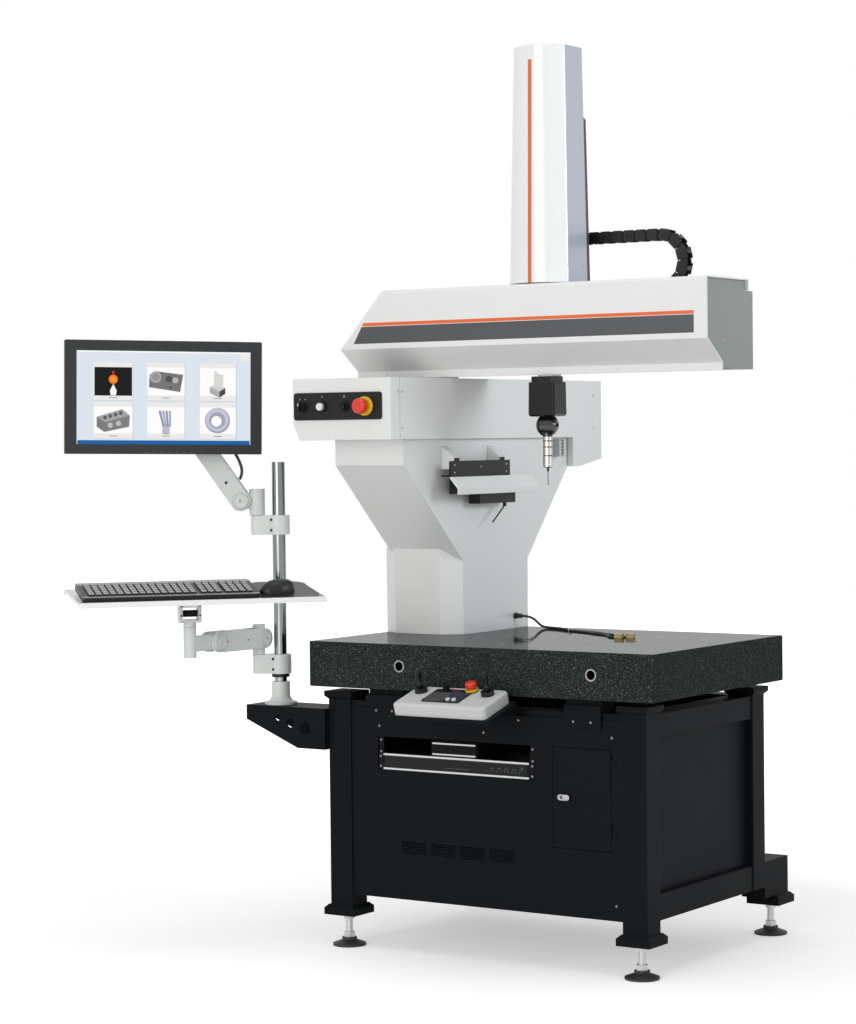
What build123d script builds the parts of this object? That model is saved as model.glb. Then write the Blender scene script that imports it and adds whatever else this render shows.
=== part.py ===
from build123d import *

import os
from math import cos, degrees, radians, sin

# A moving-arm coordinate measuring machine on its own stand, with an operator's screen and keyboard.
# Millimetres, +X to the right, +Y to the back, +Z up from the floor, seen from the front.

os.makedirs("parts", exist_ok=True)

# Granite table
table_width = 1037
table_depth = 711
table_thick = 120
table_top = 812
table_right = 758
table_front = -246
table_edge = 4
table_left = table_right - table_width
table_back = table_front + table_depth
table_bottom = table_top - table_thick
table_mid_x = (table_left + table_right) / 2

# General clearances
running_gap = 0.05
sliding_gap = 0.3
link_gap = 0.4

# Stand
leg_wide = 70
leg_deep = 66
leg_side_inset = 39
leg_front_inset = 33
leg_back_inset = 38
collar_wide = 95
collar_high = 27
collar_bevel = 9
leg_bottom = 112
frame_bottom = 142
frame_top = 657
top_collar_high = 22
lower_rail_high = 66
upper_rail_high = 60
rail_deep = 56
outrigger_reach = 135
outrigger_high = 98
panel_thick = 4
panel_recess = 4

legs_x = (table_left + leg_side_inset + leg_wide / 2, table_right - leg_side_inset - leg_wide / 2)
leg_front = table_front + leg_front_inset
leg_back = table_back - leg_back_inset
legs_y = (leg_front + leg_deep / 2, leg_back - leg_deep / 2)
inner_left = legs_x[0] + leg_wide / 2
inner_right = legs_x[1] - leg_wide / 2
inner_front = leg_front + leg_deep
inner_back = leg_back - leg_deep
panel_front = leg_front + panel_recess
panel_back = panel_front + panel_thick
lower_rail_top = frame_bottom + lower_rail_high
upper_rail_bottom = frame_top - upper_rail_high
rear_foot_y = leg_back + outrigger_reach - 35
feet = [(x, y) for x in legs_x for y in (legs_y[0], rear_foot_y)]

# Levelling feet
foot_pad_r = 44
foot_pad_high = 22
foot_stud_r = 9
foot_nut_flats = 27
foot_nut_high = 14

# Openings in the front panel
rack_wide = 482
rack_high = 88
bay_spare = inner_right - inner_left - rack_wide
rack_left = inner_left + bay_spare / 4
rack_bottom = 478
door_wide = 0.505 * bay_spare
door_high = 256
door_left = rack_left + rack_wide + 0.15 * bay_spare
door_bottom = 312
door_gap = 1.5
vent_slot_high = 2.5
vent_slot_wide = 78
vent_pitch_x = 90
vent_pitch_z = 5.6
vent_rows = 6
vent_groups = 4
vent_mid_x = rack_left + 0.51 * rack_wide
vent_mid_z = 279

# Column and Y guide
column_width = 252
column_chamfer_x = 53
column_chamfer_y = 36
column_front_inset = 330
column_depth = 367
column_block_high = 232
column_flare_inset = 33
column_flare_front_inset = 85
column_slope_top = 462
column_rear_reach = 220
column_rear_slope_low = 193
column_rear_slope_top = 444
guide_wide = 314
guide_long = 1081
guide_bottom = 1342
guide_high = 162
guide_wall = 8
guide_overhang = 20
guide_corner_x = 20
guide_corner_z = 45
guide_tail_long = 161
guide_tail_deep = 83
guide_tail_flat = 38
guide_tail_rise = 21

column_right = table_left + column_width
column_front = table_front + column_front_inset
column_back = column_front + column_depth
flare_left = table_left + column_flare_inset
guide_right = column_right + guide_overhang
guide_left = guide_right - guide_wide
guide_front = table_front
guide_back = guide_front + guide_long
guide_top = guide_bottom + guide_high
guide_mid_x = (guide_left + guide_right) / 2
tail_front = guide_back - guide_tail_long

# X beam, in the pose of the picture
beam_front_inset = 215
beam_front = table_front + beam_front_inset
beam_right = table_right + 43
beam_left = guide_left + 4
beam_slant = 139
beam_bottom = guide_top + 3
beam_high = 235
beam_face_high = 156
beam_top = beam_bottom + beam_high
beam_fold = beam_top - beam_face_high
beam_chamfer_deep = 80
beam_strip_top = beam_bottom + 20
beam_sheet = 4
beam_top_deep = 228
beam_deep = 265
beam_step_drop = 30
beam_step = beam_top - beam_step_drop
core_thick = 99
core_lift = 5

beam_back = beam_front + beam_deep
top_back = beam_front + beam_top_deep
core_front = beam_back - core_thick
core_bottom = beam_bottom + core_lift

# Linear rails, screws and carriages
rail_wide = 20
rail_high = 12
block_long = 40
block_wall = 8
screw_r = 6
y_rail_gap = 140
x_rail_low = beam_bottom + 55
x_rail_high = beam_step - 47
x_screw_z = (x_rail_low + x_rail_high) / 2
bed_high = 42
neck_wide = 120

# Z head and ram
head_x = table_right - 480.5
head_y = table_front + 311
ram_side = 49
ram_set_back = 13.5
ram_chamfer = 6
x_travel = (-150, 400)
y_travel = (-205, 300)
cover_wide = 179
cover_top_narrow = 24
cover_side_front = head_y - 36
cover_back = head_y + 62
cover_bulge = 47
cover_bottom = beam_top + 3
cover_high = 617
cover_top = cover_bottom + cover_high
cover_wall = 4
rear_plate_half = 90
rear_plate_top_half = 81
rear_plate_corner = 14
rear_plate_thick = 12
rear_plate_drop = 174
rear_plate_top = cover_top - rear_plate_drop
ram_below_beam = 4
ram_head_room = 72
ram_bottom = beam_bottom - ram_below_beam
ram_top = cover_top - ram_head_room

# Probe
probe_wide = 82
probe_deep = 68
probe_high = 90
probe_neck_side = 60
probe_edge = 5
ball_r = 30.5
ball_drop = 23
ball_slot = 28
pocket_r = 31.5
pocket_high = 12
module_r = 12.5
module_drop = 111
stylus_r = 1
stylus_tip_r = 2
stylus_long = 45
ram_y = head_y + ram_set_back
probe_top = ram_bottom - 15
probe_bottom = probe_top - probe_high
ball_z = probe_bottom - ball_drop
module_bottom = ball_z - module_drop
stylus_bottom = module_bottom - stylus_long

# Cable chain
chain_pitch = 35
chain_wide = 34
chain_high = 32
chain_wall = 4
chain_bend_r = 70.5
chain_loop_x = table_right - 221
upper_links = 7
lower_links = 4
loop_links = 6
chain_y = beam_back - 1 - chain_wide / 2
chain_low_z = beam_step + chain_high / 2
chain_high_z = chain_low_z + 2 * chain_bend_r

# Operator's post and arms
post_left_gap = 146
post_x = table_left - post_left_gap
post_y = table_front + 69
post_r = 17.5
post_top = 1285
post_flange_r = 44
bracket_top = 632
bracket_reach = 75
bracket_deep = 112
bracket_high = 109
bracket_end_high = 39
bracket_sheet = 5
bracket_end_thick = 22
clamp_reach = 58
clamp_wall = 12
clamp_high = 52
lower_clamp_z = 741
upper_clamp_z = 1116
arm_view = 213.8
barrel_r = 17
pivot_pin_r = 6
cheek_thick = 8
arm_high = 54


def slab(x, y, z, mode=Mode.ADD):
    """A box between two limits on each axis."""
    with Locations(((x[0] + x[1]) / 2, (y[0] + y[1]) / 2, (z[0] + z[1]) / 2)):
        Box(x[1] - x[0], y[1] - y[0], z[1] - z[0], mode=mode)


def rod(start, end, radius, mode=Mode.ADD):
    """A round bar, or a round hole, from one point to another."""
    axis = Vector(*end) - Vector(*start)
    with BuildSketch(Plane(origin=start, z_dir=axis)) as section:
        Circle(radius)
    extrude(section.sketch, amount=axis.length, mode=mode)


def prism(plane, points, amount, mode=Mode.ADD):
    """A straight-sided outline, pulled out along its plane's normal."""
    with BuildSketch(plane) as section:
        with BuildLine():
            Polyline(points, close=True)
        make_face()
    extrude(section.sketch, amount=amount, mode=mode)


def around(middle, size):
    """The two limits of a length that is centred on a place."""
    return (middle - size / 2, middle + size / 2)


def keep(node, *pieces):
    """Labels a finished piece, or a group of separate pieces, and writes its file."""
    made = pieces[0] if len(pieces) == 1 else Compound(children=list(pieces))
    made.label = node
    export_step(made, f"parts/{node}.step")


# The stand is one weldment of square tube, with bevelled collars at the ends of its legs
with BuildPart() as stand_frame:
    for x in legs_x:
        slab(around(x, leg_wide), around(legs_y[0], leg_deep), (leg_bottom, frame_top))
        slab(around(x, leg_wide), around(legs_y[1], leg_deep), (frame_bottom, frame_top))
        slab(around(x, leg_wide), (leg_back, leg_back + outrigger_reach),
             (leg_bottom, leg_bottom + outrigger_high))
        side = around(x, leg_wide - 6)
        slab(side, (inner_front, inner_back), (frame_bottom, lower_rail_top))
        slab(side, (inner_front, inner_back), (upper_rail_bottom, frame_top))
    for y in ((panel_back, panel_back + rail_deep),
              (leg_back - panel_thick - rail_deep, leg_back - panel_thick)):
        slab((inner_left, inner_right), y, (frame_bottom, lower_rail_top))
        slab((inner_left, inner_right), y, (upper_rail_bottom, frame_top))
    for x in legs_x:
        for y in (legs_y[0], rear_foot_y):
            with BuildSketch(Plane.XY.offset(leg_bottom - collar_high)) as collar:
                with Locations((x, y)):
                    Rectangle(collar_wide, collar_wide)
            extrude(collar.sketch, amount=collar_high - collar_bevel)
            with BuildSketch(Plane.XY.offset(leg_bottom - collar_bevel)) as bevel:
                with Locations((x, y)):
                    Rectangle(collar_wide, collar_wide)
            extrude(bevel.sketch, amount=collar_bevel, taper=45)
        for y in legs_y:
            with BuildSketch(Plane.XY.offset(frame_top)) as cap:
                with Locations((x, y)):
                    Rectangle(leg_wide, leg_deep)
            extrude(cap.sketch, amount=collar_bevel, taper=-45)
            slab(around(x, leg_wide + 2 * collar_bevel), around(y, leg_deep + 2 * collar_bevel),
                 (frame_top + collar_bevel, frame_top + top_collar_high))
keep("stand_frame", stand_frame.part)

# The front panel is a folded sheet with the rack bay, the door way and four groups of vent slots
door_x = (door_left, door_left + door_wide)
door_z = (door_bottom, door_bottom + door_high)
hinge_x = door_x[1] - door_gap / 2
hinge_y = panel_front - 3
hinge_r = 3
pin_r = 1.6
hinge_long = 14
hinge_heights = (door_z[0] + 40, door_z[1] - 40)
panel_top = frame_top - 17
with BuildPart() as front_panel:
    slab((inner_left, inner_right), (panel_front, panel_back), (frame_bottom, panel_top))
    slab((rack_left, rack_left + rack_wide), (panel_front, panel_back),
         (rack_bottom, rack_bottom + rack_high),
         Mode.SUBTRACT)
    slab(door_x, (panel_front, panel_back), door_z, Mode.SUBTRACT)
    with BuildSketch(Plane.XZ.offset(-panel_back)) as vents:
        with Locations((vent_mid_x, vent_mid_z)):
            with GridLocations(vent_pitch_x, vent_pitch_z, vent_groups, vent_rows):
                SlotOverall(vent_slot_wide, vent_slot_high)
    extrude(vents.sketch, amount=panel_thick, mode=Mode.SUBTRACT)
    for z in hinge_heights:
        slab((hinge_x, hinge_x + 16), (panel_front - 2, panel_front), (z, z + hinge_long))
        rod((hinge_x, hinge_y, z), (hinge_x, hinge_y, z + hinge_long), hinge_r)
        rod((hinge_x, hinge_y, z), (hinge_x, hinge_y, z + hinge_long), pin_r + running_gap, Mode.SUBTRACT)
        slab((hinge_x - 8, hinge_x + 0.4), (panel_front - 0.4, panel_back), (z - 1, z + hinge_long + 1),
             Mode.SUBTRACT)
keep("front_panel", front_panel.part)

# The door hangs on two pins at its right edge, and its latch turns in it
latch_x = door_left + 31
latch_z = door_bottom + 130
latch_shaft_r = 5
with BuildPart() as cabinet_door:
    slab((door_x[0] + door_gap, door_x[1] - door_gap), (panel_front, panel_back),
         (door_z[0] + door_gap, door_z[1] - door_gap))
    rod((latch_x, panel_back, latch_z), (latch_x, panel_front, latch_z), latch_shaft_r + running_gap,
        Mode.SUBTRACT)
    for z in hinge_heights:
        top = z + hinge_long + sliding_gap
        rod((hinge_x, hinge_y, z), (hinge_x, hinge_y, top), pin_r)
        rod((hinge_x, hinge_y, top), (hinge_x, hinge_y, top + hinge_long), hinge_r)
        slab((hinge_x - 16, hinge_x), (panel_front - 2, panel_front), (top, top + hinge_long))
keep("cabinet_door", cabinet_door.part)

latch_long = 34
with BuildPart() as door_latch:
    rod((latch_x, panel_back + 8, latch_z), (latch_x, panel_front - 4, latch_z), latch_shaft_r)
    slab(around(latch_x, 9), (panel_back + 2, panel_back + 8), (latch_z - 7, latch_z + 22))
    with BuildSketch(Plane.XZ.offset(-(panel_front - 1))) as paddle:
        with Locations((latch_x + 6, latch_z)):
            SlotOverall(latch_long, 15)
    extrude(paddle.sketch, amount=8)
keep("door_latch", door_latch.part)

# Thin sheets close the two sides and the back
with BuildPart() as side_panels:
    for x in (legs_x[0] - 13, legs_x[1] + 13):
        slab(around(x, 3), (inner_front, inner_back), (lower_rail_top, upper_rail_bottom))
    slab((inner_left, inner_right), (leg_back - panel_thick, leg_back), (frame_bottom, frame_top))
keep("side_panels", side_panels.part)

# Rack bay: two slotted rails, a flat controller on its ears and a small unit on top of it
rail_face = panel_back
ear_thick = 2.5
unit_high = 42
unit_deep = 280
rack_x = (rack_left, rack_left + rack_wide)
with BuildPart() as rack_rails:
    for x in ((rack_x[0] - 16, rack_x[0] + 16), (rack_x[1] - 16, rack_x[1] + 16)):
        slab(x, (rail_face, rail_face + 15), (rack_bottom - 6, rack_bottom + rack_high + 10))
unit_x = (rack_x[0] + 18, rack_x[1] - 18)
unit_z = (rack_bottom + 2, rack_bottom + 2 + unit_high)
with BuildPart() as controller:
    slab(unit_x, (rail_face - ear_thick, rail_face + unit_deep), unit_z)
    slab((rack_x[0] + 2, rack_x[1] - 2), (rail_face - ear_thick, rail_face), unit_z)
    for z in (unit_z[0], unit_z[1] - 5):
        slab(unit_x, (rail_face - ear_thick - 2, rail_face - ear_thick), (z, z + 5))
small_x = (rack_left + 166, rack_left + 306)
with BuildPart() as small_unit:
    slab(small_x, (rail_face, rail_face + 180), (unit_z[1], unit_z[1] + 40))
    slab((small_x[0] + 4, small_x[1] - 4), (rail_face - 2, rail_face), (unit_z[1] + 4, unit_z[1] + 36))
keep("rack_units", rack_rails.part, controller.part, small_unit.part)

# Four levelling feet: a swivelling pad on a threaded stud, locked by hexagon nuts
collar_bottom = leg_bottom - collar_high
with BuildPart() as levelling_feet:
    for x, y in feet:
        with BuildSketch(Plane.XZ.offset(-y)) as half:
            with BuildLine():
                Polyline((x, 0), (x + foot_pad_r, 0), (x + foot_pad_r, 6), (x + foot_pad_r * 0.45, 15),
                         (x + foot_pad_r * 0.45, foot_pad_high), (x, foot_pad_high), close=True)
            make_face()
        revolve(half.sketch, Axis((x, y, 0), (0, 0, 1)))
        rod((x, y, foot_pad_high), (x, y, collar_bottom), foot_stud_r)
        for z in (foot_pad_high, collar_bottom - foot_nut_high):
            with BuildSketch(Plane.XY.offset(z)) as nut:
                with Locations((x, y)):
                    RegularPolygon(foot_nut_flats / 2, 6, major_radius=False)
            extrude(nut.sketch, amount=foot_nut_high)
keep("levelling_feet", levelling_feet.part)

# Three damping blocks carry the granite, two of them behind screwed plates at the front
support_wide = 106
support_inset = 110
support_x = (inner_left + support_inset, inner_right - support_inset)
plate_low = 42
with BuildPart() as table_supports:
    for x in support_x:
        slab(around(x, support_wide), (panel_back, panel_back + rail_deep), (frame_top, table_bottom))
        slab(around(x, support_wide), (panel_front - 6, panel_front),
             (frame_top - plate_low, frame_top + 18))
        slab(around(x, support_wide), (panel_front - 6, panel_back), (frame_top, frame_top + 18))
    slab(around(table_mid_x, support_wide), (leg_back - panel_thick - rail_deep, leg_back - panel_thick),
         (frame_top, table_bottom))
keep("table_supports", table_supports.part)

# The granite table has two lifting bores in its front and threaded inserts in its top
lift_x = (table_left + 288, table_right - 175)
lift_z = table_bottom + 63
lift_bush_r = 15.5
lift_bore_r = 12
lift_deep = 90
insert_r = 8
insert_bore_r = 3.4
insert_deep = 20
insert_pitch_x = 130
insert_pitch_y = 125
insert_columns = 5
insert_rows = 4
insert_x = table_mid_x + 130
insert_y = table_front + 320
with BuildPart() as granite_table:
    slab((table_left, table_right), (table_front, table_back), (table_bottom, table_top))
    fillet(granite_table.edges(), table_edge)
    for x in lift_x:
        rod((x, table_front + lift_deep, lift_z), (x, table_front, lift_z), lift_bush_r + running_gap,
            Mode.SUBTRACT)
    with BuildSketch(Plane.XY.offset(table_top)) as insert_seats:
        with Locations((insert_x, insert_y)):
            with GridLocations(insert_pitch_x, insert_pitch_y, insert_columns, insert_rows):
                Circle(insert_r + running_gap)
    extrude(insert_seats.sketch, amount=-insert_deep, mode=Mode.SUBTRACT)
keep("granite_table", granite_table.part)

with BuildPart() as table_bushes:
    for x in lift_x:
        rod((x, table_front + lift_deep, lift_z), (x, table_front, lift_z), lift_bush_r)
        rod((x, table_front + lift_deep, lift_z), (x, table_front, lift_z), lift_bore_r, Mode.SUBTRACT)
    with BuildSketch(Plane.XY.offset(table_top)) as inserts:
        with Locations((insert_x, insert_y)):
            with GridLocations(insert_pitch_x, insert_pitch_y, insert_columns, insert_rows):
                Circle(insert_r)
                Circle(insert_bore_r, mode=Mode.SUBTRACT)
    extrude(inserts.sketch, amount=-insert_deep)
keep("table_bushes", table_bushes.part)

# The column stands on the table and flares to the front and the back under the guide
flare_front = table_front + column_flare_front_inset
flare_top_z = table_top + column_slope_top
block_top = table_top + column_block_high
slope = (flare_top_z - block_top) / (column_front - flare_front)
root_deep = 120
flare_root = (column_front + root_deep, block_top - slope * root_deep)
rear_end = column_back + column_rear_reach
with BuildPart() as column_cover:
    with BuildSketch(Plane.XY.offset(table_top)) as block_plan:
        with BuildLine():
            Polyline((table_left, column_back), (column_right, column_back),
                     (column_right, column_front + column_chamfer_y),
                     (column_right - column_chamfer_x, column_front),
                     (table_left + column_chamfer_x, column_front),
                     (table_left, column_front + column_chamfer_y), close=True)
        make_face()
    extrude(block_plan.sketch, amount=column_block_high)
    prism(Plane.YZ.offset(flare_left), [(flare_front, guide_bottom), (flare_front, flare_top_z), flare_root,
                                        (flare_root[0], table_top + 10), (column_back, table_top + 10),
                                        (column_back, table_top + column_rear_slope_low),
                                        (rear_end, table_top + column_rear_slope_top),
                                        (rear_end, guide_bottom)], column_right - flare_left)
keep("column_cover", column_cover.part)

# The guide cover is a long box with a travelling slot in its top and a deeper tail
slot_wide = neck_wide + 16
neck_y = (core_front - 60, beam_back - 9)
slot_y = (neck_y[0] + y_travel[0] - 8, neck_y[1] + y_travel[1] + 8)
switch_z = guide_bottom + 88
selector_x = guide_left + 34
white_x = guide_left + 98
black_x = guide_left + 169
estop_x = guide_left + 236
button_r = 10
button_bore_r = button_r + sliding_gap
with BuildPart() as guide_cover:
    with BuildSketch(Plane.XZ.offset(-guide_back)) as guide_section:
        with BuildLine():
            Polyline((guide_left + guide_corner_x, guide_bottom), (guide_right, guide_bottom),
                     (guide_right, guide_top), (guide_left, guide_top),
                     (guide_left, guide_bottom + guide_corner_z), close=True)
        make_face()
    extrude(guide_section.sketch, amount=guide_long)
    prism(Plane.YZ.offset(guide_left), [(tail_front, guide_bottom),
                                        (tail_front, guide_bottom - guide_tail_deep),
                                        (tail_front + guide_tail_flat, guide_bottom - guide_tail_deep),
                                        (guide_back, guide_bottom - guide_tail_deep + guide_tail_rise),
                                        (guide_back, guide_bottom)], guide_wide)
    slab((guide_left + guide_corner_x + guide_wall, guide_right - guide_wall),
         (guide_front + guide_wall, guide_back - guide_wall),
         (guide_bottom + guide_wall, guide_top - guide_wall),
         Mode.SUBTRACT)
    slab((guide_left + guide_corner_x + guide_wall, guide_right - guide_wall),
         (tail_front + guide_wall, guide_back - guide_wall),
         (guide_bottom - guide_tail_deep + guide_tail_rise + guide_wall, guide_bottom + guide_wall),
         Mode.SUBTRACT)
    slab(around(guide_mid_x, slot_wide), slot_y, (guide_top - guide_wall, guide_top), Mode.SUBTRACT)
    for x in (white_x, black_x, estop_x):
        rod((x, guide_front + guide_wall, switch_z), (x, guide_front, switch_z), button_bore_r,
            Mode.SUBTRACT)
keep("guide_cover", guide_cover.part)

# Inside the guide: a bed with two rails, and a drive screw with its motor in the tail
bed_x = around(guide_mid_x, y_rail_gap + 60)
bed_y = (guide_front + guide_wall, tail_front + 60)
bed_z = (guide_bottom + guide_wall, guide_bottom + guide_wall + bed_high)
y_rail_x = (guide_mid_x - y_rail_gap / 2, guide_mid_x + y_rail_gap / 2)
y_screw_z = bed_z[1] + 18
screw_support = 16
motor_r = 28
with BuildPart() as y_guideway:
    slab(bed_x, bed_y, bed_z)
    for x in y_rail_x:
        slab(around(x, rail_wide), bed_y, (bed_z[1], bed_z[1] + rail_high))
    for y in (bed_y[0], bed_y[1] - screw_support):
        slab(around(guide_mid_x, 44), (y, y + screw_support), (bed_z[1], y_screw_z + 14))
    rod((guide_mid_x, bed_y[0], y_screw_z), (guide_mid_x, bed_y[1] + 12, y_screw_z), screw_r)
    rod((guide_mid_x, bed_y[1], y_screw_z), (guide_mid_x, guide_back - guide_wall - 6, y_screw_z), motor_r)
keep("y_guideway", y_guideway.part)

# The switch plate on the guide's front, with its bezels and a loose yellow collar for the stop button
plate_thick = 4
plate_wide = 282
plate_high = 72
plate_mid_x = guide_left + 146
plate_mid_z = guide_bottom + 89
bezel_r = 14.5
bezel_high = 7
estop_collar_r = 25
estop_collar_high = 6
plate_face = guide_front - plate_thick
selector_shaft_r = 7
with BuildPart() as switch_plate:
    with BuildSketch(Plane.XZ.offset(-guide_front)) as plate_outline:
        with Locations((plate_mid_x, plate_mid_z)):
            RectangleRounded(plate_wide, plate_high, 8)
    extrude(plate_outline.sketch, amount=plate_thick)
    for x in (white_x, black_x, selector_x):
        rod((x, plate_face, switch_z), (x, plate_face - bezel_high, switch_z), bezel_r)
    for x in (white_x, black_x, estop_x):
        rod((x, guide_front, switch_z), (x, plate_face - bezel_high, switch_z), button_bore_r,
            Mode.SUBTRACT)
    rod((selector_x, guide_front, switch_z), (selector_x, plate_face - bezel_high, switch_z),
        selector_shaft_r + running_gap, Mode.SUBTRACT)
with BuildPart() as stop_collar:
    rod((estop_x, plate_face, switch_z), (estop_x, plate_face - estop_collar_high, switch_z),
        estop_collar_r)
    fillet(stop_collar.edges().sort_by(Axis.Y)[0], 2)
    rod((estop_x, plate_face, switch_z), (estop_x, plate_face - estop_collar_high, switch_z), button_bore_r,
        Mode.SUBTRACT)
keep("control_panel", switch_plate.part, stop_collar.part)

knob_high = 14
with BuildPart() as selector_knob:
    front = plate_face - bezel_high - sliding_gap
    rod((selector_x, guide_front - 1, switch_z), (selector_x, front - 4, switch_z), selector_shaft_r)
    rod((selector_x, front, switch_z), (selector_x, front - 6, switch_z), 12)
    slab(around(selector_x, 7), (front - knob_high, front - 4), around(switch_z, 23))
keep("selector_knob", selector_knob.part)

button_reach = 9
for node, x in (("white_button", white_x), ("black_button", black_x)):
    with BuildPart() as push_button:
        rod((x, guide_front + 4, switch_z), (x, plate_face - bezel_high - button_reach, switch_z), button_r)
        fillet(push_button.edges().sort_by(Axis.Y)[0], 2)
    keep(node, push_button.part)

mushroom_r = 20
mushroom_high = 18
mushroom_gap = 13
with BuildPart() as panel_estop:
    back = plate_face - estop_collar_high - mushroom_gap
    rod((estop_x, guide_front + 1, switch_z), (estop_x, back, switch_z), button_r)
    rod((estop_x, back, switch_z), (estop_x, back - mushroom_high, switch_z), mushroom_r)
    fillet(panel_estop.edges().sort_by(Axis.Y)[0], 7)
keep("panel_estop", panel_estop.part)

# Fittings on the column's right side: a connector box, a bare plate and the sensor cable's gland
gland_y = table_front + 628
gland_z = table_top + 35
gland_long = 22
connector_y = rear_end - 78
with BuildPart() as side_fittings:
    slab((column_right, column_right + 22), (connector_y, connector_y + 26),
         (guide_bottom - 54, guide_bottom - 6))
    slab((column_right, column_right + 2), (connector_y + 30, connector_y + 50),
         (guide_bottom - 48, guide_bottom - 4))
    rod((column_right, gland_y, gland_z), (column_right + 6, gland_y, gland_z), 9)
    rod((column_right + 6, gland_y, gland_z), (column_right + gland_long, gland_y, gland_z), 6.5)
keep("side_fittings", side_fittings.part)

# The beam's front cover is one folded sheet, closed and slanted at its left end
cover_outer = [(beam_front, beam_fold), (beam_front, beam_top), (top_back, beam_top),
               (top_back, beam_step + 0.5),
               (core_front - 4, beam_step + 0.5), (core_front - 4, beam_bottom),
               (beam_front + beam_chamfer_deep, beam_bottom),
               (beam_front + beam_chamfer_deep, beam_strip_top)]
sheet_y = beam_front + beam_sheet
strip_y = beam_front + beam_chamfer_deep + beam_sheet
cover_inner = [(sheet_y, beam_fold + 2), (sheet_y, beam_top - beam_sheet),
               (top_back - beam_sheet, beam_top - beam_sheet),
               (top_back - beam_sheet, beam_step - 10), (core_front + 10, beam_step - 10),
               (core_front + 10, beam_bottom - 5),
               (strip_y, beam_bottom - 5), (strip_y, beam_strip_top + 2)]
beam_long = beam_right - beam_left
slant_end = [(beam_left - 5, beam_fold), (beam_left, beam_fold), (beam_left + beam_slant, beam_top),
             (beam_left + beam_slant, beam_top + 5), (beam_left - 5, beam_top + 5)]
slot_x = (head_x + x_travel[0] - 60, head_x + x_travel[1] + 60)
top_slot_y = (head_y - 38, core_front - 4)
with BuildPart() as beam_cover:
    prism(Plane.YZ.offset(beam_left), cover_outer, beam_long)
    front_edge = beam_cover.edges().filter_by(Axis.X).sort_by(Axis.Z)[-2:].sort_by(Axis.Y)[0]
    fillet(front_edge, 10)
    prism(Plane.XZ.offset(-beam_back), slant_end, beam_deep + 10, Mode.SUBTRACT)
    with BuildPart(mode=Mode.PRIVATE) as hollow:
        prism(Plane.YZ.offset(beam_left + beam_sheet), cover_inner, beam_long)
        prism(Plane.XZ.offset(-beam_back - 5), [(px + beam_sheet * 1.5, pz) for px, pz in slant_end],
              beam_deep + 20,
              Mode.SUBTRACT)
    add(hollow.part, mode=Mode.SUBTRACT)
    slab(slot_x, top_slot_y, (beam_top - 2 * beam_sheet, beam_top + 1), Mode.SUBTRACT)
keep("beam_cover", beam_cover.part)

# Behind the cover: the load-carrying beam with its right end plate, two rails and a drive screw
end_plate_x = (beam_right - 12, beam_right - 8)
end_inset = beam_sheet + 0.4
end_outline = [(beam_front + end_inset, beam_fold + 2.4), (beam_front + end_inset, beam_top - end_inset),
               (top_back - end_inset, beam_top - end_inset), (top_back - end_inset, beam_step),
               (beam_back, beam_step),
               (beam_back, core_bottom), (strip_y + 0.4, core_bottom),
               (strip_y + 0.4, beam_strip_top + 2.4)]
core_left = beam_left + 12
x_rail_x = (beam_left + beam_slant + 10, end_plate_x[0] - 8)
x_screw_y = core_front - 12
with BuildPart() as beam_core:
    slab((core_left, end_plate_x[0]), (core_front, beam_back), (core_bottom, beam_step))
    prism(Plane.XZ.offset(-beam_back), [(px + 12, pz) for px, pz in slant_end], core_thick, Mode.SUBTRACT)
    prism(Plane.YZ.offset(end_plate_x[0]), end_outline, end_plate_x[1] - end_plate_x[0])
with BuildPart() as x_rails:
    for z in (x_rail_low, x_rail_high):
        slab(x_rail_x, (core_front - rail_high, core_front), around(z, rail_wide))
    for x in x_rail_x:
        inward = 20 if x == x_rail_x[0] else -20
        slab(tuple(sorted((x, x + inward))), (x_screw_y - 10, core_front), around(x_screw_z, 24))
    rod((x_rail_x[0], x_screw_y, x_screw_z), (x_rail_x[1], x_screw_y, x_screw_z), screw_r)
keep("beam_core", beam_core.part, x_rails.part)

# The carriage that runs along the Y rails and carries the beam on its neck
plate_z = bed_z[1] + rail_high + 10
with BuildPart() as y_carriage:
    slab(around(guide_mid_x, y_rail_gap + rail_wide + 2 * block_wall), (neck_y[0] - 40, neck_y[1]),
         (plate_z, plate_z + 14))
    slab(around(guide_mid_x, neck_wide), neck_y, (plate_z + 14, core_bottom))
    for x in y_rail_x:
        for y in (neck_y[0] - 40, neck_y[1] - block_long):
            slab(around(x, rail_wide + 2 * block_wall), (y, y + block_long), (bed_z[1] + 3, plate_z))
            slab(around(x, rail_wide + 2 * sliding_gap), (y, y + block_long),
                 (bed_z[1], bed_z[1] + rail_high + sliding_gap), Mode.SUBTRACT)
    slab(around(guide_mid_x, 40), around(sum(neck_y) / 2, 50), (bed_z[1] + 4, plate_z))
    rod((guide_mid_x, neck_y[0] - 40, y_screw_z), (guide_mid_x, neck_y[1], y_screw_z),
        screw_r + running_gap,
        Mode.SUBTRACT)
keep("y_carriage", y_carriage.part)

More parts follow.
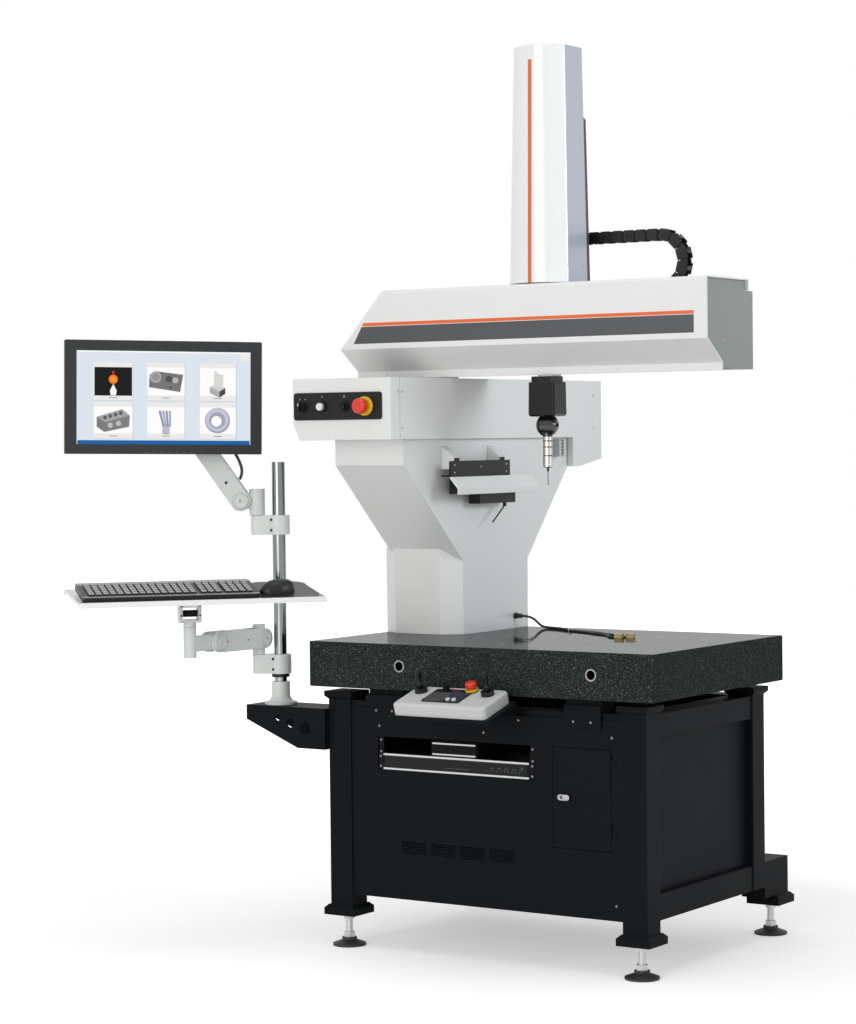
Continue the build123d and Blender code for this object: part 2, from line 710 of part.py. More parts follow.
# The head's carriage: a plate on four X bearing blocks, a spine and two frames that guide the ram
carriage_y = (core_front - rail_high - block_wall - 8, core_front - rail_high - block_wall)
carriage_x = around(head_x, 160)
carriage_z = (x_rail_low - 27, x_rail_high + 35)
spine_top = cover_top - 212
frame_gap = sliding_gap
frame_out = ram_side / 2 + 14
with BuildPart() as x_carriage:
    slab(carriage_x, carriage_y, carriage_z)
    slab(around(head_x, 80), (carriage_y[0] - 3, carriage_y[1]), (carriage_z[0], cover_bottom + 20))
    slab(around(head_x, 80), (carriage_y[0] - 3, cover_back - cover_wall), (cover_bottom + 20, spine_top))
    for z in (x_rail_low, x_rail_high):
        for x in (carriage_x[0], carriage_x[1] - block_long):
            slab((x, x + block_long), (carriage_y[1], core_front - 2.5),
                 around(z, rail_wide + 2 * block_wall))
            slab((x, x + block_long), (core_front - rail_high - sliding_gap, core_front),
                 around(z, rail_wide + 2 * sliding_gap), Mode.SUBTRACT)
    slab(around(head_x, 50), (carriage_y[1], core_front - 3), around(x_screw_z, 26))
    rod((carriage_x[0], x_screw_y, x_screw_z), (carriage_x[1], x_screw_y, x_screw_z), screw_r + running_gap,
        Mode.SUBTRACT)
    for z in (carriage_z[1] - 40, cover_bottom + 50):
        slab(around(head_x, 2 * frame_out), (ram_y - frame_out, carriage_y[0]), (z, z + 40))
    with BuildSketch(Plane.XY.offset(ram_bottom)) as ram_way:
        with Locations((head_x, ram_y)):
            Rectangle(ram_side + 2 * frame_gap, ram_side + 2 * frame_gap)
    extrude(ram_way.sketch, amount=ram_top - ram_bottom, mode=Mode.SUBTRACT)
keep("x_carriage", x_carriage.part)

# The tall cover of the Z axis has a bowed front and narrows a little to its top
def cover_plan(height, narrow, inset):
    """The cover's plan: flat sides and back, and a bowed front with rounded corners."""
    half = cover_wide / 2 - narrow / 2 - inset
    front = cover_side_front + narrow / 2
    bow = front - cover_bulge + inset
    with BuildSketch(Plane.XY.offset(height)) as plan:
        with BuildLine():
            left = (head_x - half, front)
            right = (head_x + half, front)
            ThreePointArc(left, (head_x, bow), right)
            Polyline(right, (head_x + half, cover_back - inset), (head_x - half, cover_back - inset), left)
        make_face()
        fillet(plan.vertices().group_by(Axis.Y)[0], 12 - inset)
    return plan.sketch


with BuildPart() as z_cover:
    loft([cover_plan(cover_bottom, 0, 0), cover_plan(cover_top, cover_top_narrow, 0)])
    fillet(z_cover.edges().group_by(Axis.Z)[-1], 3)
    loft([cover_plan(cover_bottom, 0, cover_wall),
          cover_plan(cover_top - cover_wall, cover_top_narrow, cover_wall)],
         mode=Mode.SUBTRACT)
keep("z_cover", z_cover.part)

# The dark plate behind the cover also holds the moving end of the cable chain
chain_left = chain_loop_x - upper_links * chain_pitch
rear_plate_y = (cover_back, cover_back + rear_plate_thick)
with BuildPart() as z_rear_plate:
    shoulder_z = rear_plate_top - rear_plate_corner
    inner_half = rear_plate_top_half - rear_plate_corner
    prism(Plane.XZ.offset(-rear_plate_y[1]),
          [(head_x - rear_plate_half, cover_bottom), (head_x + rear_plate_half, cover_bottom),
           (head_x + rear_plate_top_half, shoulder_z), (head_x + inner_half, rear_plate_top),
           (head_x - inner_half, rear_plate_top), (head_x - rear_plate_top_half, shoulder_z)],
           rear_plate_thick)
    slab((chain_left - 34, chain_left - link_gap), (rear_plate_y[1], chain_y + chain_wide / 2),
         around(chain_high_z, chain_high - 2 * chain_wall))
    slab((chain_left - 30, chain_left), (rear_plate_y[1], chain_y - chain_wide / 2 - 2),
         around(chain_high_z, chain_high - 4 * chain_wall), Mode.SUBTRACT)
keep("z_rear_plate", z_rear_plate.part)

# The square ram slides in the two frames
with BuildPart() as z_ram:
    with BuildSketch(Plane.XY.offset(ram_bottom)) as ram_section:
        with Locations((head_x, ram_y)):
            Rectangle(ram_side, ram_side)
        chamfer(ram_section.vertices(), ram_chamfer)
    extrude(ram_section.sketch, amount=ram_top - ram_bottom)
keep("z_ram", z_ram.part)

# The probe head is a black box under the ram, with a round pocket for the turning yoke
with BuildPart() as probe_head:
    with BuildSketch(Plane.XY.offset(probe_bottom)) as head_plan:
        with Locations((head_x, head_y)):
            Rectangle(probe_wide, probe_deep)
        chamfer(head_plan.vertices(), probe_edge)
    extrude(head_plan.sketch, amount=probe_high, taper=1)
    chamfer(probe_head.edges().group_by(Axis.Z)[0], probe_edge)
    slab(around(head_x, probe_neck_side), around(head_y, probe_neck_side), (probe_top, ram_bottom))
    rod((head_x, head_y, probe_bottom), (head_x, head_y, probe_bottom + pocket_high), pocket_r,
        Mode.SUBTRACT)
keep("probe_head", probe_head.part)

# The yoke turns in the pocket, and its two round cheeks hold the tilting joint
yoke_pin_r = 5
with BuildPart() as probe_yoke:
    rod((head_x, head_y, probe_bottom + 2), (head_x, head_y, probe_bottom + pocket_high - sliding_gap),
        pocket_r - sliding_gap)
    with Locations((head_x, head_y, ball_z)):
        Sphere(ball_r)
    slab(around(head_x, ball_slot), around(head_y, 4 * ball_r), (ball_z - 2 * ball_r, probe_bottom + 2),
         Mode.SUBTRACT)
    rod((head_x - ball_r, head_y, ball_z), (head_x + ball_r, head_y, ball_z), yoke_pin_r + running_gap,
        Mode.SUBTRACT)
keep("probe_yoke", probe_yoke.part)

joint_r = 24
stub_r = 13
module_top = ball_z - joint_r - 6
with BuildPart() as probe_ball:
    rod((head_x - ball_slot / 2 + sliding_gap, head_y, ball_z),
        (head_x + ball_slot / 2 - sliding_gap, head_y, ball_z),
        joint_r)
    rod((head_x - ball_slot / 2 - 9, head_y, ball_z), (head_x + ball_slot / 2 + 9, head_y, ball_z),
        yoke_pin_r)
    rod((head_x, head_y, module_top), (head_x, head_y, ball_z), stub_r)
keep("probe_ball", probe_ball.part)

# The touch module with its ring grooves, and a thin stylus with a ball tip
groove_deep = 0.8
with BuildPart() as probe_module:
    rod((head_x, head_y, module_bottom), (head_x, head_y, module_top), module_r)
    chamfer(probe_module.edges().group_by(Axis.Z)[0], 2.5)
    for z in (module_top - 12, module_top - 28, module_bottom + 30):
        with BuildSketch(Plane.XY.offset(z)) as groove:
            with Locations((head_x, head_y)):
                Circle(module_r)
                Circle(module_r - groove_deep, mode=Mode.SUBTRACT)
        extrude(groove.sketch, amount=1.6, mode=Mode.SUBTRACT)
    rod((head_x, head_y, module_bottom - 10), (head_x, head_y, module_bottom), 3)
    rod((head_x, head_y, stylus_bottom + stylus_tip_r), (head_x, head_y, module_bottom - 10), stylus_r)
    with Locations((head_x, head_y, stylus_bottom + stylus_tip_r)):
        Sphere(stylus_tip_r)
keep("probe_module", probe_module.part)


# Cable chain: hollow links in two straight runs and a half-round loop
def chain_section(plane):
    """The hollow cross-section of a link, with bevelled corners."""
    with BuildSketch(plane) as section:
        Rectangle(chain_wide, chain_high)
        chamfer(section.vertices(), 3)
        Rectangle(chain_wide - 2 * chain_wall, chain_high - 3 * chain_wall, mode=Mode.SUBTRACT)
    return section.sketch


def chain_run(height, count):
    """Links side by side that end at the loop."""
    for i in range(count):
        start = chain_loop_x - (count - i) * chain_pitch
        plane = Plane(origin=(start, chain_y, height), x_dir=(0, 1, 0), z_dir=(1, 0, 0))
        extrude(chain_section(plane), amount=chain_pitch - link_gap)


with BuildPart() as chain_upper:
    chain_run(chain_high_z, upper_links)
keep("chain_upper", chain_upper.part)

with BuildPart() as chain_lower:
    chain_run(chain_low_z, lower_links)
keep("chain_lower", chain_lower.part)

loop_mid = (chain_loop_x, chain_y, (chain_low_z + chain_high_z) / 2)
loop_step = 180 / loop_links
loop_gap = degrees(link_gap / chain_bend_r)
with BuildPart() as chain_loop:
    for i in range(loop_links):
        angle = radians(90 - loop_gap - i * loop_step)
        place = (loop_mid[0] + chain_bend_r * cos(angle), chain_y, loop_mid[2] + chain_bend_r * sin(angle))
        ahead = (sin(angle), 0, -cos(angle))
        plane = Plane(origin=place, x_dir=(0, 1, 0), z_dir=ahead)
        revolve(chain_section(plane), Axis(loop_mid, (0, 1, 0)), loop_step - loop_gap)
keep("chain_loop", chain_loop.part)

# Probe rack on the column's side: wedge brackets, a black plate, an end cap and a low box with a hook
rack_y = table_front + 241
rack_long = 295
rack_plate_x = column_right + 40
rack_plate_z = (table_top + 429, table_top + 471)
lid_y = (table_front + 225, table_front + 629)
lid_reach = 30
lid_fall = 31
low_box_y = (table_front + 376, table_front + 556)
low_box_z = (table_top + 354, table_top + 382)
lid_pin_r = 3
lid_axis = (rack_plate_x + 3, rack_plate_z[0] - 4)
with BuildPart() as rack_brackets:
    for y in (rack_y + 25, rack_y + rack_long - 44):
        prism(Plane.XZ.offset(-(y + 26)), [(column_right, rack_plate_z[0] + 20),
                                           (column_right, rack_plate_z[1] + 40),
                                           (rack_plate_x, rack_plate_z[1] + 8),
                                           (rack_plate_x, rack_plate_z[1] - 18),
                                           (column_right + 12, rack_plate_z[0] + 20)], 26)
with BuildPart() as rack_plate:
    slab((rack_plate_x, rack_plate_x + 6), (rack_y, rack_y + rack_long), rack_plate_z)
    slab((rack_plate_x - 26, rack_plate_x), (rack_y, rack_y + rack_long),
         (rack_plate_z[0], rack_plate_z[0] + 4))
    for y in (rack_y + 10, rack_y + rack_long - 22):
        rod((lid_axis[0], y, lid_axis[1]), (lid_axis[0], y + 12, lid_axis[1]), lid_pin_r + 3)
        slab(around(lid_axis[0], 6), (y, y + 12), (lid_axis[1], rack_plate_z[0]))
        rod((lid_axis[0], y, lid_axis[1]), (lid_axis[0], y + 12, lid_axis[1]), lid_pin_r + running_gap,
            Mode.SUBTRACT)
    slab((rack_plate_x - 26, rack_plate_x - 22), (rack_y + 40, rack_y + rack_long - 40),
         (low_box_z[1], rack_plate_z[0] + 4))
    slab((rack_plate_x - 26, rack_plate_x + 10), low_box_y, low_box_z)
hook_y = low_box_y[1] - 40
with BuildPart() as rack_hook:
    rod((rack_plate_x, hook_y, low_box_z[0] - 10), (rack_plate_x, hook_y, low_box_z[0]), 5)
    rod((rack_plate_x, hook_y, low_box_z[0] - 8), (rack_plate_x, hook_y - 62, low_box_z[0] - 52), 2)
keep("rack_mount", rack_brackets.part, rack_plate.part, rack_hook.part)

lid_thick = 4
lid_lip = 12
with BuildPart() as rack_lid:
    rod((lid_axis[0], rack_y + 8, lid_axis[1]), (lid_axis[0], rack_y + rack_long - 8, lid_axis[1]),
        lid_pin_r)
    top_x = lid_axis[0] + 7.5
    prism(Plane.XZ.offset(-lid_y[1]), [(top_x, lid_axis[1] + 2),
                                       (top_x + lid_reach - lid_thick, lid_axis[1] - lid_fall + lid_thick),
                                       (top_x + lid_reach - lid_thick, lid_axis[1] - lid_fall - lid_lip),
                                       (top_x + lid_reach, lid_axis[1] - lid_fall - lid_lip),
                                       (top_x + lid_reach, lid_axis[1] - lid_fall + lid_thick),
                                       (top_x + 4, lid_axis[1] + 4)], lid_y[1] - lid_y[0])
    for y in (rack_y + 60, rack_y + rack_long - 80):
        slab((lid_axis[0], top_x + 2), (y, y + 20), (lid_axis[1] - 3.5, lid_axis[1] + 0.5))
keep("rack_lid", rack_lid.part)

# Temperature sensor lead: a bundle from the gland, then two thin leads to brass blocks on the table
lead_r = 2.5
bundle_r = 3.5
bundle_z = table_top + bundle_r
lead_z = table_top + lead_r
gland_end = column_right + gland_long
tie_point = (gland_end + 176, gland_y - 33, bundle_z)
bundle_route = [(gland_end, gland_y, gland_z), (gland_end + 20, gland_y, gland_z),
                (gland_end + 34, gland_y + 13, gland_z - 9), (gland_end + 44, gland_y + 22, gland_z - 24),
                (gland_end + 60, gland_y + 24, bundle_z), (gland_end + 90, gland_y + 18, bundle_z),
                (gland_end + 128, gland_y + 1, bundle_z), tie_point]
near_block = (tie_point[0] + 245, tie_point[1] - 160)
far_block = (tie_point[0] + 270, tie_point[1] - 143)
near_route = [(tie_point[0], tie_point[1] - 3.5, lead_z), (tie_point[0] + 32, tie_point[1] - 22, lead_z),
              (tie_point[0] + 72, tie_point[1] - 36, lead_z),
              (tie_point[0] + 112, tie_point[1] - 66, lead_z),
              (tie_point[0] + 150, tie_point[1] - 84, lead_z),
              (tie_point[0] + 190, tie_point[1] - 118, lead_z),
              (near_block[0] - 34, near_block[1], lead_z), (near_block[0] - 11, near_block[1], lead_z)]
far_route = [(tie_point[0], tie_point[1] + 3.5, lead_z), (tie_point[0] + 34, tie_point[1] - 6, lead_z),
             (tie_point[0] + 78, tie_point[1] - 22, lead_z),
             (tie_point[0] + 122, tie_point[1] - 46, lead_z),
             (tie_point[0] + 164, tie_point[1] - 78, lead_z),
             (tie_point[0] + 206, tie_point[1] - 98, lead_z),
             (far_block[0] - 36, far_block[1], lead_z), (far_block[0] - 11, far_block[1], lead_z)]


def cord(route, radius):
    """A tube along straight runs joined by the largest arcs that the runs allow."""
    points = [Vector(*p) for p in route]
    radii = []
    for before, at, after in zip(points, points[1:], points[2:]):
        turn = radians((at - before).get_angle(after - at))
        run = min((at - before).length, (after - at).length)
        radii.append(0.45 * run / (sin(turn / 2) / cos(turn / 2)))
    with BuildLine() as path:
        FilletPolyline(*points, radius=radii)
    with BuildSketch(Plane(origin=points[0], z_dir=path.line % 0)) as section:
        Circle(radius)
    sweep(section.sketch, path=path.line)


with BuildPart() as bundle:
    cord(bundle_route, bundle_r)
with BuildPart() as near_lead:
    cord(near_route, lead_r)
with BuildPart() as far_lead:
    cord(far_route, lead_r)
keep("sensor_cable", bundle.part, near_lead.part, far_lead.part)

block_side = 22
block_tall = 12
with BuildPart() as sensor_blocks:
    for x, y in (near_block, far_block):
        slab((x - 11, x - 11 + block_side), around(y, 14), (table_top, table_top + block_tall))
keep("sensor_blocks", sensor_blocks.part)

# Remote box: a black shelf on the stand's front and a white housing that leans towards the operator
remote_tilt = 16
remote_wide = 275
remote_deep = 128
remote_high = 32
remote_x = table_mid_x - 9.5
remote_y = table_front - 88.5
remote_z = 664
shelf_thick = 10
shelf_wide = 305
remote_up = (0, -sin(radians(remote_tilt)), cos(radians(remote_tilt)))
remote_plane = Plane(origin=(remote_x, remote_y, remote_z), x_dir=(1, 0, 0), z_dir=remote_up)
remote_face = remote_plane.offset(remote_high)


def remote_rod(x, y, low, high, radius, mode=Mode.ADD):
    """A round piece that stands square to the remote box, measured from its top face."""
    start = remote_face.from_local_coords(Vector(x, y, low))
    end = remote_face.from_local_coords(Vector(x, y, high))
    rod(tuple(start), tuple(end), radius, mode)


with BuildPart() as remote_shelf:
    with BuildSketch(remote_plane) as shelf_plan:
        RectangleRounded(shelf_wide, remote_deep + 10, 10)
    extrude(shelf_plan.sketch, amount=-shelf_thick)
    back_low = remote_plane.from_local_coords(Vector(0, remote_deep / 2, -shelf_thick))
    for x in (remote_x - 130, remote_x + 100):
        prism(Plane.YZ.offset(x), [(panel_back, back_low.Z - 30), (panel_back, table_bottom - 40),
                                   (back_low.Y, back_low.Z + 2), (back_low.Y - 40, back_low.Z - 9.5)], 30)
keep("remote_shelf", remote_shelf.part)

stick_x = 100
stick_y = 22
stick_base_r = 17
stick_bore_r = 11.5
stick_base_high = 12
pivot_high = 8
keypad_wide = 112
keypad_deep = 84
keypad_thick = 3
keypad_x = -6
knob_place = (-32, 36)
remote_estop_place = (42, 40)
remote_button_r = 6
remote_buttons = {"remote_button_left": (12, -28), "remote_button_right": (30, -28)}
with BuildPart() as remote_housing:
    with BuildSketch(remote_plane) as housing_plan:
        RectangleRounded(remote_wide, remote_deep, 14)
    extrude(housing_plan.sketch, amount=remote_high)
    fillet(remote_housing.faces().sort_by(Axis(remote_plane.origin, remote_up))[-1].edges(), 8)
with BuildPart() as keypad:
    with BuildSketch(remote_face) as keypad_plan:
        with Locations((keypad_x, 0)):
            RectangleRounded(keypad_wide, keypad_deep, 6)
    extrude(keypad_plan.sketch, amount=keypad_thick)
    for x, y in remote_buttons.values():
        remote_rod(x, y, 0, keypad_thick, remote_button_r + sliding_gap, Mode.SUBTRACT)
    remote_rod(*knob_place, 0, keypad_thick, 5 + running_gap, Mode.SUBTRACT)
    remote_rod(*remote_estop_place, 0, keypad_thick, 9 + sliding_gap, Mode.SUBTRACT)
with BuildPart() as stick_bases:
    for x in (-stick_x, stick_x):
        remote_rod(x, stick_y, 0, stick_base_high, stick_base_r)
        remote_rod(x, stick_y, 0, stick_base_high, stick_bore_r, Mode.SUBTRACT)
with BuildPart() as remote_collar:
    remote_rod(*remote_estop_place, keypad_thick, keypad_thick + 5, 17)
    remote_rod(*remote_estop_place, keypad_thick, keypad_thick + 5, 9 + sliding_gap, Mode.SUBTRACT)
keep("remote_housing", remote_housing.part, keypad.part, stick_bases.part, remote_collar.part)


def cross_rod(x, y, z, direction, reach, radius):
    """A pin through a point of the remote box, along its own X or Y."""
    off = Vector(reach, 0, 0) if direction == "X" else Vector(0, reach, 0)
    middle = Vector(x, y, z)
    start = remote_face.from_local_coords(middle - off)
    end = remote_face.from_local_coords(middle + off)
    rod(tuple(start), tuple(end), radius)


def stick_grip(x):
    """The stick's shaft and its waisted grip."""
    remote_rod(x, stick_y, pivot_high - 2, pivot_high + 8, 4)
    with BuildSketch(Plane(remote_face.from_local_coords(Vector(x, stick_y, 0)), x_dir=(1, 0, 0),
                           z_dir=(0, -remote_up[2], remote_up[1]))) as half:
        with BuildLine():
            Polyline((0, 14), (7, 14), (7.5, 22))
            Spline((7.5, 22), (6, 36), (8, 54), (5, 62))
            Polyline((5, 62), (0, 62), (0, 14))
        make_face()
    axis = Axis(tuple(remote_face.from_local_coords(Vector(x, stick_y, 0))), remote_up)
    revolve(half.sketch, axis)


gimbal_r = 10
gimbal_bore_r = 7
with BuildPart() as stick_gimbal:
    remote_rod(-stick_x, stick_y, pivot_high - 1.5, pivot_high + 1.5, gimbal_r)
    cross_rod(-stick_x, stick_y, pivot_high, "X", stick_bore_r - sliding_gap, 1.2)
    remote_rod(-stick_x, stick_y, pivot_high - 1.5, pivot_high + 1.5, gimbal_bore_r, Mode.SUBTRACT)
keep("stick_gimbal", stick_gimbal.part)

with BuildPart() as stick_left:
    stick_grip(-stick_x)
    cross_rod(-stick_x, stick_y, pivot_high, "Y", gimbal_bore_r - sliding_gap, 1.2)
keep("stick_left", stick_left.part)

with BuildPart() as stick_right:
    stick_grip(stick_x)
    cross_rod(stick_x, stick_y, pivot_high, "X", stick_bore_r - sliding_gap, 1.2)
keep("stick_right", stick_right.part)

with BuildPart() as speed_knob:
    remote_rod(*knob_place, 0.5, keypad_thick + 2, 5)
    remote_rod(*knob_place, keypad_thick + sliding_gap, keypad_thick + 14, 9)
keep("speed_knob", speed_knob.part)

with BuildPart() as remote_estop:
    remote_rod(*remote_estop_place, 5, keypad_thick + 12, 9)
    remote_rod(*remote_estop_place, keypad_thick + 10, keypad_thick + 23, 15)
    fillet(remote_estop.faces().sort_by(Axis(remote_plane.origin, remote_up))[-1].edges(), 5)
keep("remote_estop", remote_estop.part)

for node, place in remote_buttons.items():
    with BuildPart() as remote_button:
        remote_rod(*place, 1.6, keypad_thick + 4, remote_button_r)
    keep(node, remote_button.part)

# Left bracket: two cheeks with lightening holes, a top and an end plate against the leg
bracket_right = table_left + leg_side_inset - bracket_end_thick
bracket_left = post_x - bracket_reach
bracket_y = around(post_y, bracket_deep)
bracket_flat = 68
hole_r = 17
bracket_outline = [(bracket_left, bracket_top), (bracket_right, bracket_top),
                   (bracket_right, bracket_top - bracket_high),
                   (bracket_right - bracket_flat, bracket_top - bracket_high),
                   (bracket_left, bracket_top - bracket_end_high)]
with BuildPart() as arm_bracket:
    prism(Plane.XZ.offset(-bracket_y[1]), bracket_outline, bracket_deep)
    inside = [(px + (bracket_sheet if px == bracket_left else 0), pz - bracket_sheet)
              for px, pz in bracket_outline]
    prism(Plane.XZ.offset(-(bracket_y[1] - bracket_sheet)), inside, bracket_deep - 2 * bracket_sheet,
          Mode.SUBTRACT)
    for x, z, r in ((bracket_right - 42, bracket_top - 55, hole_r),
                    (bracket_right - 92, bracket_top - 42, hole_r * 0.8),
                    (bracket_right - 134, bracket_top - 30, hole_r * 0.55)):
        rod((x, bracket_y[1], z), (x, bracket_y[0], z), r, Mode.SUBTRACT)
    slab((bracket_right, bracket_right + bracket_end_thick), bracket_y,
         (bracket_top - bracket_high, bracket_top))
keep("arm_bracket", arm_bracket.part)

# Chrome post in a flared foot, with a split clamp for each arm
view = radians(arm_view)
out_x = cos(view)
out_y = sin(view)
pivot_x = post_x + clamp_reach * out_x
pivot_y = post_y + clamp_reach * out_y
with BuildPart() as arm_post:
    rod((post_x, post_y, bracket_top), (post_x, post_y, bracket_top + 7), post_flange_r)
    with BuildSketch(Plane.XZ.offset(-post_y)) as foot_half:
        with BuildLine():
            Polyline((post_x, bracket_top + 7), (post_x + 38, bracket_top + 7))
            ThreePointArc((post_x + 38, bracket_top + 7), (post_x + 27.5, bracket_top + 17),
                          (post_x + 25, bracket_top + 30))
            Polyline((post_x + 25, bracket_top + 30), (post_x + 25, bracket_top + 62),
                     (post_x, bracket_top + 62),
                     (post_x, bracket_top + 7))
        make_face()
    revolve(foot_half.sketch, Axis((post_x, post_y, 0), (0, 0, 1)))
    rod((post_x, post_y, bracket_top + 62), (post_x, post_y, post_top), post_r)
clamp_parts = []
for z in (lower_clamp_z, upper_clamp_z):
    with BuildPart() as clamp:
        with BuildSketch(Plane.XY.offset(z - clamp_high / 2)) as clamp_plan:
            with Locations((post_x, post_y)):
                Circle(post_r + clamp_wall)
            with Locations((pivot_x, pivot_y)):
                Circle(barrel_r)
            with Locations(Location(((post_x + pivot_x) / 2, (post_y + pivot_y) / 2, 0), (0, 0, arm_view))):
                Rectangle(clamp_reach, 2 * barrel_r)
            with Locations((post_x, post_y)):
                Circle(post_r + running_gap, mode=Mode.SUBTRACT)
        extrude(clamp_plan.sketch, amount=clamp_high)
        rod((pivot_x, pivot_y, z), (pivot_x, pivot_y, z + clamp_high / 2), pivot_pin_r + running_gap,
            Mode.SUBTRACT)
    clamp_parts.append(clamp.part)
keep("arm_post", arm_post.part, *clamp_parts)


def arm_frame(heading, origin):
    """A plane whose X runs along an arm and whose Y points up, so that its Z is the pivot's axis."""
    along = (cos(radians(heading)), sin(radians(heading)), 0)
    return Plane(origin=origin, x_dir=along, z_dir=(along[1], -along[0], 0))


def pivot(plane, s, z, reach, radius, mode=Mode.ADD):
    """A cross pin or bore through an arm at a distance along it."""
    start = plane.from_local_coords(Vector(s, z, -reach))
    end = plane.from_local_coords(Vector(s, z, reach))
    rod(tuple(start), tuple(end), radius, mode)


fork_half = barrel_r + 0.6
cheek_out = fork_half + cheek_thick
cap_r = 22
tongue_r = 20
cap_thick = 4


def fork_arm(plane, length, angle):
    """A box arm with a fork at both ends and round caps over its pivots."""
    lean = radians(angle)
    end = (length * cos(lean), length * sin(lean))
    with BuildSketch(plane.offset(-cheek_out)) as side:
        with Locations(Location((end[0] / 2, end[1] / 2, 0), (0, 0, angle))):
            SlotCenterToCenter(length, arm_high)
    extrude(side.sketch, amount=2 * cheek_out)
    for place, back in (((0, 0), 1), (end, -1)):
        with BuildSketch(plane.offset(-fork_half)) as gap:
            mid = (place[0] + back * 8 * cos(lean), place[1] + back * 8 * sin(lean))
            with Locations(Location((mid[0], mid[1], 0), (0, 0, angle))):
                Rectangle(76, 2 * arm_high)
        extrude(gap.sketch, amount=2 * fork_half, mode=Mode.SUBTRACT)
        for side_z in (-cheek_out - cap_thick, cheek_out):
            with BuildSketch(plane.offset(side_z)) as cap:
                with Locations(place):
                    Circle(cap_r)
            extrude(cap.sketch, amount=cap_thick)
        pivot(plane, *place, cheek_out + 1, pivot_pin_r + running_gap, Mode.SUBTRACT)


# Keyboard arm: a turning base, a forked arm, an upright barrel, a tilter and the tray
key_heading = 263.3
key_arm_long = 172
key_yoke_long = 87.7
key_z = 811
key_base = arm_frame(key_heading, (pivot_x, pivot_y, key_z))
key_clamp_top = lower_clamp_z + clamp_high / 2
with BuildPart() as keyboard_arm_base:
    rod((pivot_x, pivot_y, key_clamp_top + sliding_gap), (pivot_x, pivot_y, key_z + 37), barrel_r)
    rod((pivot_x, pivot_y, key_clamp_top - 20), (pivot_x, pivot_y, key_z), pivot_pin_r)
    pivot(key_base, 0, 0, cheek_out, pivot_pin_r)
keep("keyboard_arm_base", keyboard_arm_base.part)

with BuildPart() as keyboard_arm:
    fork_arm(key_base, key_arm_long, 0)
keep("keyboard_arm", keyboard_arm.part)

barrel_s = key_arm_long + key_yoke_long
barrel_at = key_base.from_local_coords(Vector(barrel_s, 0, 0))
barrel_low = 775
barrel_high = 856
tongue_half = barrel_r
swivel_pin_r = 8
with BuildPart() as tray_barrel:
    with BuildSketch(key_base.offset(-tongue_half)) as tongue:
        with Locations((key_arm_long, 0)):
            Circle(tongue_r)
        with Locations(((key_arm_long + barrel_s) / 2, 0)):
            Rectangle(key_yoke_long, 2 * tongue_r)
    extrude(tongue.sketch, amount=2 * tongue_half)
    rod((barrel_at.X, barrel_at.Y, barrel_low), (barrel_at.X, barrel_at.Y, barrel_high), barrel_r)
    pivot(key_base, key_arm_long, 0, cheek_out, pivot_pin_r)
    rod((barrel_at.X, barrel_at.Y, barrel_high - 40), (barrel_at.X, barrel_at.Y, barrel_high),
        swivel_pin_r + running_gap, Mode.SUBTRACT)
keep("tray_barrel", tray_barrel.part)

screen_facing = 50
tray_wide = 648
tray_shift = 7
tray_deep = 250
tray_tilt = 5.3
tray_sheet = 4
tray_lip = 9
tilt_z = 918
tray_under = 24
tray_ahead = 36
lug_wide = 42
facing = radians(screen_facing)
wide_dir = (cos(facing), sin(facing), 0)
ahead_dir = (sin(facing), -cos(facing), 0)
tilt_frame = Plane(origin=(barrel_at.X, barrel_at.Y, tilt_z), x_dir=wide_dir, z_dir=(0, 0, 1))
tilt = radians(tray_tilt)
tray_lean = Plane(origin=tilt_frame.origin, x_dir=wide_dir,
                  z_dir=(ahead_dir[0] * sin(tilt), ahead_dir[1] * sin(tilt), cos(tilt)))


def tray_slab(plane, x, y, z, mode=Mode.ADD):
    """A box between two limits in a leaning frame."""
    with BuildSketch(plane.offset(z[0])) as plan:
        with Locations(((x[0] + x[1]) / 2, (y[0] + y[1]) / 2)):
            Rectangle(x[1] - x[0], y[1] - y[0])
    extrude(plan.sketch, amount=z[1] - z[0], mode=mode)


def leaning(y, z, angle):
    """A plane across the tray that leans forward by an angle from level, through a line on the tray."""
    turn = radians(angle)
    return Plane(origin=tuple(tray_lean.from_local_coords(Vector(0, y, z))), x_dir=wide_dir,
                 z_dir=(ahead_dir[0] * sin(turn), ahead_dir[1] * sin(turn), cos(turn)))


def tilt_pin(reach, radius, mode=Mode.ADD):
    """The tilter's cross pin, or its bore."""
    start = tilt_frame.from_local_coords(Vector(-reach, 0, 0))
    end = tilt_frame.from_local_coords(Vector(reach, 0, 0))
    rod(tuple(start), tuple(end), radius, mode)


ear_reach = lug_wide / 2 + 8
with BuildPart() as tray_tilter:
    rod((barrel_at.X, barrel_at.Y, barrel_high - 36), (barrel_at.X, barrel_at.Y, barrel_high + 8),
        swivel_pin_r)
    rod((barrel_at.X, barrel_at.Y, barrel_high + sliding_gap), (barrel_at.X, barrel_at.Y, barrel_high + 12),
        barrel_r)
    tray_slab(tilt_frame, (-ear_reach, ear_reach), (-17, 17),
              (barrel_high + 12 - tilt_z, barrel_high + 20 - tilt_z))
    for x in ((-ear_reach, -lug_wide / 2), (lug_wide / 2, ear_reach)):
        tray_slab(tilt_frame, x, (-17, 17), (barrel_high + 20 - tilt_z, 14))
    tilt_pin(ear_reach, 5)
keep("tray_tilter", tray_tilter.part)

